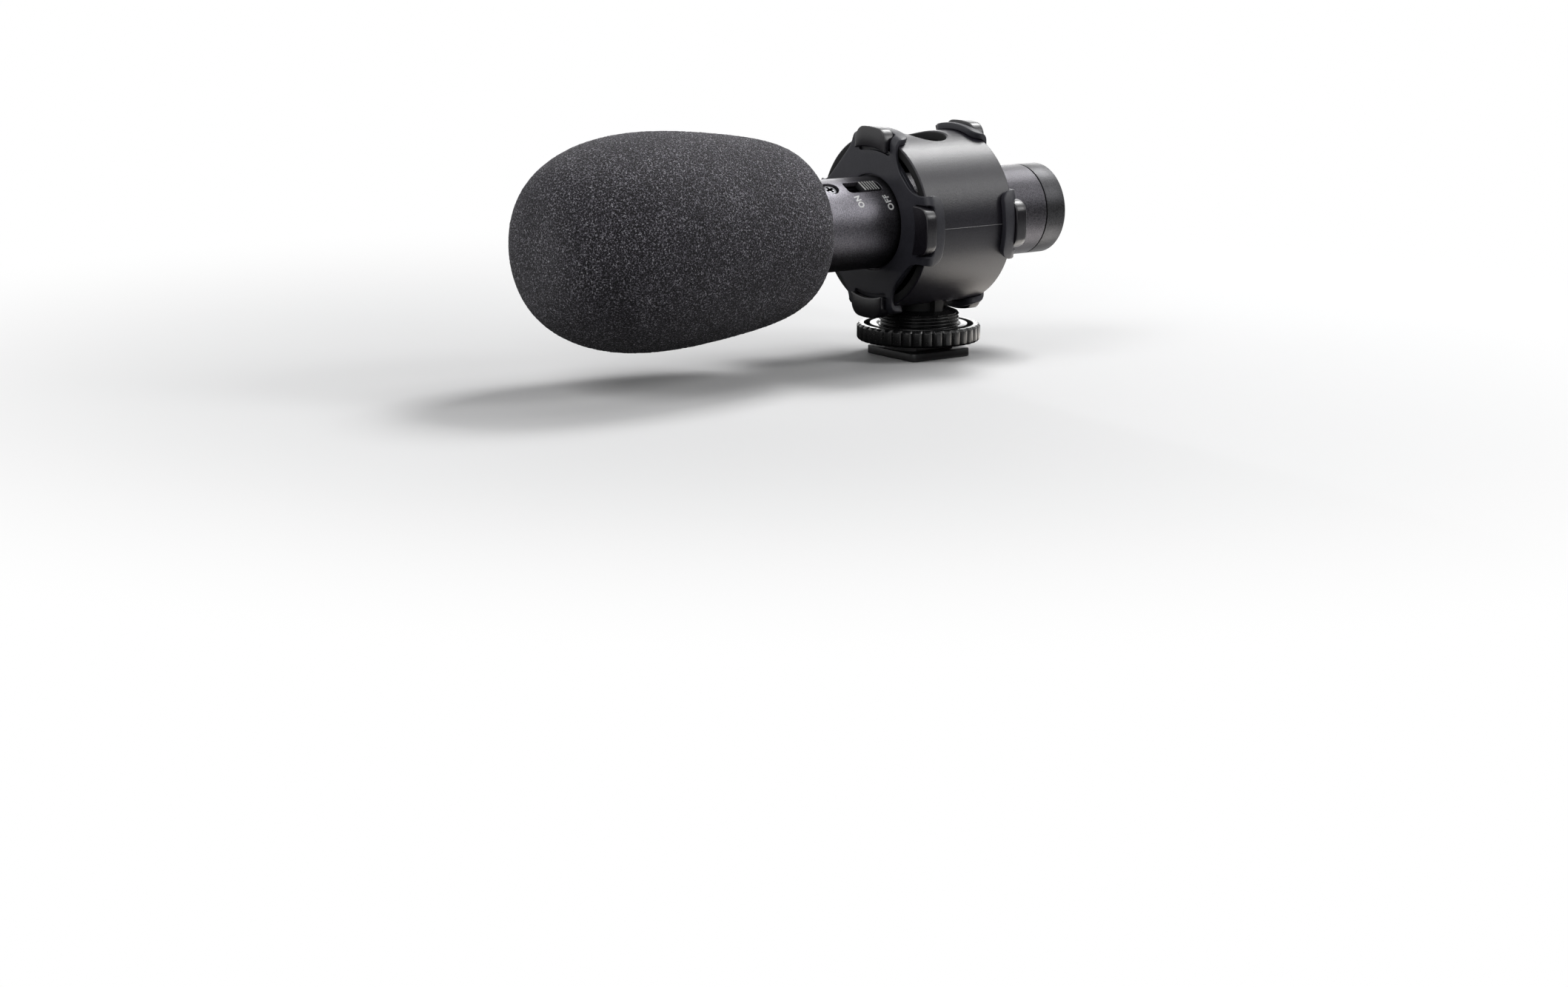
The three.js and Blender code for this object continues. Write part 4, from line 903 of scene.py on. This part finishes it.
def makeCap(look):
    radius, end, edge, shoulder, neck, spigot, inner, front, middle, floor = pick(
        look, "radius end edge shoulder neck spigot spigotInner spigotFront neckFront inner")
    profile = [(0, end, 0), (radius, end, edge), (radius, shoulder, 0.12), (neck, shoulder, 0), (neck, middle, 0),
               (spigot, middle, 0.15), (spigot, front, 0.25), (inner, front, 0.2), (inner, floor, 0.1), (0, floor, 0)]
    return lathe(rounded(profile, closed=False), 224, closed=False)


addPiece("rearCap", [makeCap(cap)], anodised, "cap", ["rear_cap"], sharpest=30)
addPiece("capGasket", [lathe(circle(gasket["thick"], 14, gasket["radius"], gasket["y"]), 144)], softRubber, "gasket",
         ["cap_gasket"], sharpest=60)
print("cap ready")


# Shoe foot with its two screws
foot = {"width": 18.6, "length": 18.0, "thickness": 2.0, "corner": 1.5, "edge": 0.25, "neckHalf": 6.15,
        "neckRadius": 8.3, "neckLow": 1.0, "neckTop": 3.9, "neckEdge": 0.12, "screwY": 4.59,
        "mouth": (2.42, -5, 0.16), "sink": ((0, 0.14), (2.42, 0.14), (1.3, 1.3), (1.3, 6), (0, 6))}
footScrew = {"head": 2.2, "length": 8.0, "shank": 1.1, "depth": 1.0, "cross": 1.45, "sunk": 0.15}


def makeFoot(look):
    half, reach, radius = look["width"] / 2, look["length"] / 2, look["neckRadius"]
    plate = prism(box(-half, -reach, half, reach, look["corner"], 6), 0, look["thickness"], look["edge"])
    start = acos(look["neckHalf"] / radius)  # the neck is a disc with two flat sides
    turns = [turn + side * pi for side in (0, 1) for turn in evenly(start, pi - start, 24)]
    outline = [Vector((cos(t), sin(t))) * radius for t in turns]
    return plate, prism(outline, look["neckLow"], look["neckTop"], look["neckEdge"], sharpest=40)


def underFoot(shape, side):
    # a screw turned head down, at its place under the foot
    return placed(shape, lambda x, y, z: (x, side * foot["screwY"] - y, footScrew["sunk"] - z))


plate, footNeck = makeFoot(foot)
holes = [disk(*foot["mouth"]), lathe(foot["sink"], 48, upright=True, closed=False)]
addPiece("shoeFoot", [plate], castFoot, "mount", ["shoe_foot"],
         cuts=[[shifted(hole, side * foot["screwY"])] for side in (-1, 1) for hole in holes])
addPiece("shoeNeck", [footNeck], castFoot, "mount")
for end, side in (("Front", -1), ("Rear", 1)):
    head, *bars = [underFoot(shape, side) for shape in makeScrew(footScrew)]
    addPiece("footScrew" + end, [head], brightSteel, "mount", ["foot_screw_" + end.lower()],
             cuts=[[bar] for bar in bars], sharpest=30)
print("foot ready")


# Inner pieces keep their solids and get their real finishes
innerFinishes = (
    (anodised, "front_grille"), (brightSteel, "capsule battery_spring"), (softRubber, "capsule_boot"),
    (redWire, "capsule_wire_signal switch_wire_rear battery_lead"), (blackWire, "capsule_wire_ground"),
    (yellowWire, "switch_wire_front"), (boardGreen, "circuit_board"), (chipPlastic, "preamp_chip"),
    (canBlue, "coupling_capacitor supply_capacitor"), (blackSteel, "switch_body"), (holderPlastic, "battery_holder"),
    (batteryWrap, "battery"), (contactPlate, "battery_contact"))
for finish, nodes in innerFinishes:
    for node in nodes.split():
        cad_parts[node].data.materials.clear()
        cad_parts[node].data.materials.append(finish)
print("inner pieces ready")


# Camera: where the photograph was taken from, worked out from the ring, the barrel and the shell
photo = {"width": 2118, "height": 1333, "sensor": 36, "lens": 80.14, "azimuth": 53.15, "elevation": 11.71, "roll": 0.34,
         "distance": 849.9, "aim": (0, 0, 7.8), "aimPixel": (1240.69, 435.41)}


def makeCamera(look):
    data = bpy.data.cameras.new("camera")
    data.sensor_width, data.lens = look["sensor"], look["lens"]
    data.clip_start, data.clip_end = 0.01, 50
    azimuth, elevation, roll = [radians(angle) for angle in pick(look, "azimuth elevation roll")]
    flat = cos(elevation)
    back = Vector((sin(azimuth) * flat, -cos(azimuth) * flat, sin(elevation)))
    right = Vector((0, 0, 1)).cross(back).normalized()
    up = back.cross(right)
    right, up = right * cos(roll) + up * sin(roll), up * cos(roll) - right * sin(roll)
    focal = look["lens"] / look["sensor"] * look["width"]
    x, y = look["aimPixel"]
    ray = (right * (x - look["width"] / 2) - up * (y - look["height"] / 2)) / focal - back
    place = Vector(look["aim"]) - ray.normalized() * look["distance"]
    scene.camera = addObject("camera", data)
    scene.camera.matrix_world = Matrix.Translation(place * mm) @ Matrix((right, up, back)).transposed().to_4x4()


makeCamera(photo)


# Studio: white sweep, soft boxes behind and above, small cards under the mount, a dark flag on the right
studio = {"fill": 0.1, "fillColour": "#f4f6fa", "floorRadius": 9.0, "nearFloor": (0.07, 0.28), "floorCentre": -0.035,
          "floorDrop": -0.00005, "paper": "#f4f4f4", "bounce": "#8c8c8c", "target": (0, -0.02, 0.03),
          "cardHeight": 0.002}
softboxes = (  # name, place, width and height, watts
    ("softboxBack", (-0.21, 0.587, 0.782), (0.3, 0.3), 5.3),
    ("softboxOver", (0.07, 0.587, 0.806), (0.3, 0.3), 1.2),
    ("softboxRight", (0.572, 0.587, 0.572), (0.3, 0.3), 1.9),
    ("stripRight", (0.715, 0.587, 0.380), (0.25, 0.2), 0.74),
    ("softboxFront", (0.10, -0.75, 0.80), (0.6, 0.6), 2.8),
    ("softboxLeft", (-0.5, -0.85, 0.4), (0.5, 0.4), 0.6),
    ("softboxRear", (-0.94, 0.704, 0.30), (0.5, 0.4), 1.8),
    ("softboxCamera", (0.75, -0.8, 0.45), (0.5, 0.4), 1.3))
cards = (  # light bounced up from the camera's warm top: name, x, y, size, watts, colour
    ("bounceCard", 0.030, 0.021, (0.026, 0.028), 0.0047, "#fff8ef"),
    ("bounceCardNear", 0.008, 0.027, (0.018, 0.018), 0.002, "#fff8ef"),
    ("bounceCardRear", 0.024, 0.052, (0.03, 0.03), 0.011, "#fffaf3"))
# a dark mat under the object, seen by reflections only: it stands in for the camera body that the object sits on
mat = {"corners": ((-0.3, -0.3), (0.3, -0.3), (0.3, -0.05), (0.033, -0.016), (0.018, 0.026), (-0.3, 0.03)),
       "height": 0.0005}
# low black cloth on the right, degrees from +X towards +Y
flag = {"radius": 0.28, "from": -8, "to": 78, "steps": 24, "low": 0.002, "height": 0.125, "colour": "#060606"}


def seenWhite(owner):
    # one where a ray from the camera, a reflection or a clear pane looks
    path = addNode(owner, "LightPath").outputs
    either = addNode(owner, "Math", {"operation": "MAXIMUM"}, {0: path["Is Camera Ray"], 1: path["Is Glossy Ray"]})
    return addNode(owner, "Math", {"operation": "MAXIMUM"}, {0: either, 1: path["Is Transmission Ray"]})


def makeWorld(look):
    world = blank(bpy.data.worlds.new("studio"))
    soft = addNode(world, "Background", {"Color": linear(look["fillColour"]), "Strength": look["fill"]})
    white = addNode(world, "Background", {"Color": (1, 1, 1, 1), "Strength": 1.0})
    mix = addNode(world, "MixShader", None, {0: seenWhite(world), 1: soft, 2: white})
    addNode(world, "OutputWorld", None, {"Surface": mix})
    scene.world = world


def makeFloor(look):
    # pale matt floor that runs into plain white away from the object, so that only the near shadow shows
    material = blank(bpy.data.materials.new("paperSweep"))
    place = addNode(material, "TexCoord").outputs["Object"]
    away = addNode(material, "VectorMath", {"operation": "LENGTH"}, {0: place}).outputs["Value"]
    near, far = look["nearFloor"]
    fade = addNode(material, "MapRange", {"interpolation_type": "SMOOTHSTEP", "From Min": near, "From Max": far},
                   {"Value": away})
    seen = seenWhite(material)
    amount = addNode(material, "Math", {"operation": "MULTIPLY"}, {0: fade, 1: seen})
    bounce, paper = [linear(colour) for colour in pick(look, "bounce paper")]
    tint = addNode(material, "Mix", {"data_type": "RGBA", 6: bounce, 7: paper}, {0: seen}).outputs[2]
    paper = addNode(material, "BsdfPrincipled", {"Roughness": 0.9, "Specular IOR Level": 0.2}, {"Base Color": tint})
    white = addNode(material, "Emission", {"Color": (1, 1, 1, 1), "Strength": 1.0})
    mix = addNode(material, "MixShader", None, {0: amount, 1: paper, 2: white})
    addNode(material, "OutputMaterial", None, {"Surface": mix})
    mesh = bpy.data.meshes.new("floor")
    rim = [p.to_3d() for p in circle(look["floorRadius"], 96)]
    mesh.from_pydata(rim, [], [list(range(len(rim)))])
    mesh.materials.append(material)
    floor = addObject("floor", mesh)
    floor.location = (0, look["floorCentre"], look["floorDrop"])


def makeLamp(name, at, size, energy, aim, colour="#ffffff"):
    data = bpy.data.lights.new(name, "AREA")
    data.shape, (data.size, data.size_y), data.energy = "RECTANGLE", size, energy
    data.color = linear(colour)[:3]
    lamp = addObject(name, data)
    lamp.location = at
    lamp.rotation_mode = "QUATERNION"
    lamp.rotation_quaternion = (Vector(aim) - lamp.location).to_track_quat("-Z", "Y")
    lamp.visible_camera = False


def makeCloths(wall, mat):
    cloth = blank(bpy.data.materials.new("blackDuvetyn"))
    matt = addNode(cloth, "BsdfPrincipled", {
        "Base Color": linear(wall["colour"]), "Roughness": 0.95, "Specular IOR Level": 0.1})
    addNode(cloth, "OutputMaterial", None, {"Surface": matt})
    radius, first, last, steps, low, high = pick(wall, "radius from to steps low height")
    turns = evenly(radians(first), radians(last), steps)
    panel = [(radius * cos(t), radius * sin(t), z) for z in (low, high) for t in turns]
    panelFaces = [(at, at + 1, at + steps + 2, at + steps + 1) for at in range(steps)]
    sheet = [(x, y, mat["height"]) for x, y in mat["corners"]]
    for name, points, faces in (("flag", panel, panelFaces), ("mat", sheet, [list(range(len(sheet)))])):
        mesh = bpy.data.meshes.new(name)
        mesh.from_pydata(points, [], faces)
        mesh.materials.append(cloth)
        hung = addObject(name, mesh)
        hung.visible_camera, hung.visible_shadow, hung.visible_diffuse = False, False, False


makeWorld(studio)
makeFloor(studio)
makeCloths(flag, mat)
for name, place, size, energy in softboxes:
    makeLamp(name, place, size, energy, studio["target"])
for name, x, y, size, energy, colour in cards:
    makeLamp(name, (x, y, studio["cardHeight"]), size, energy, (x, y, 1), colour)
scene.view_settings.view_transform = "Standard"
print("studio ready")
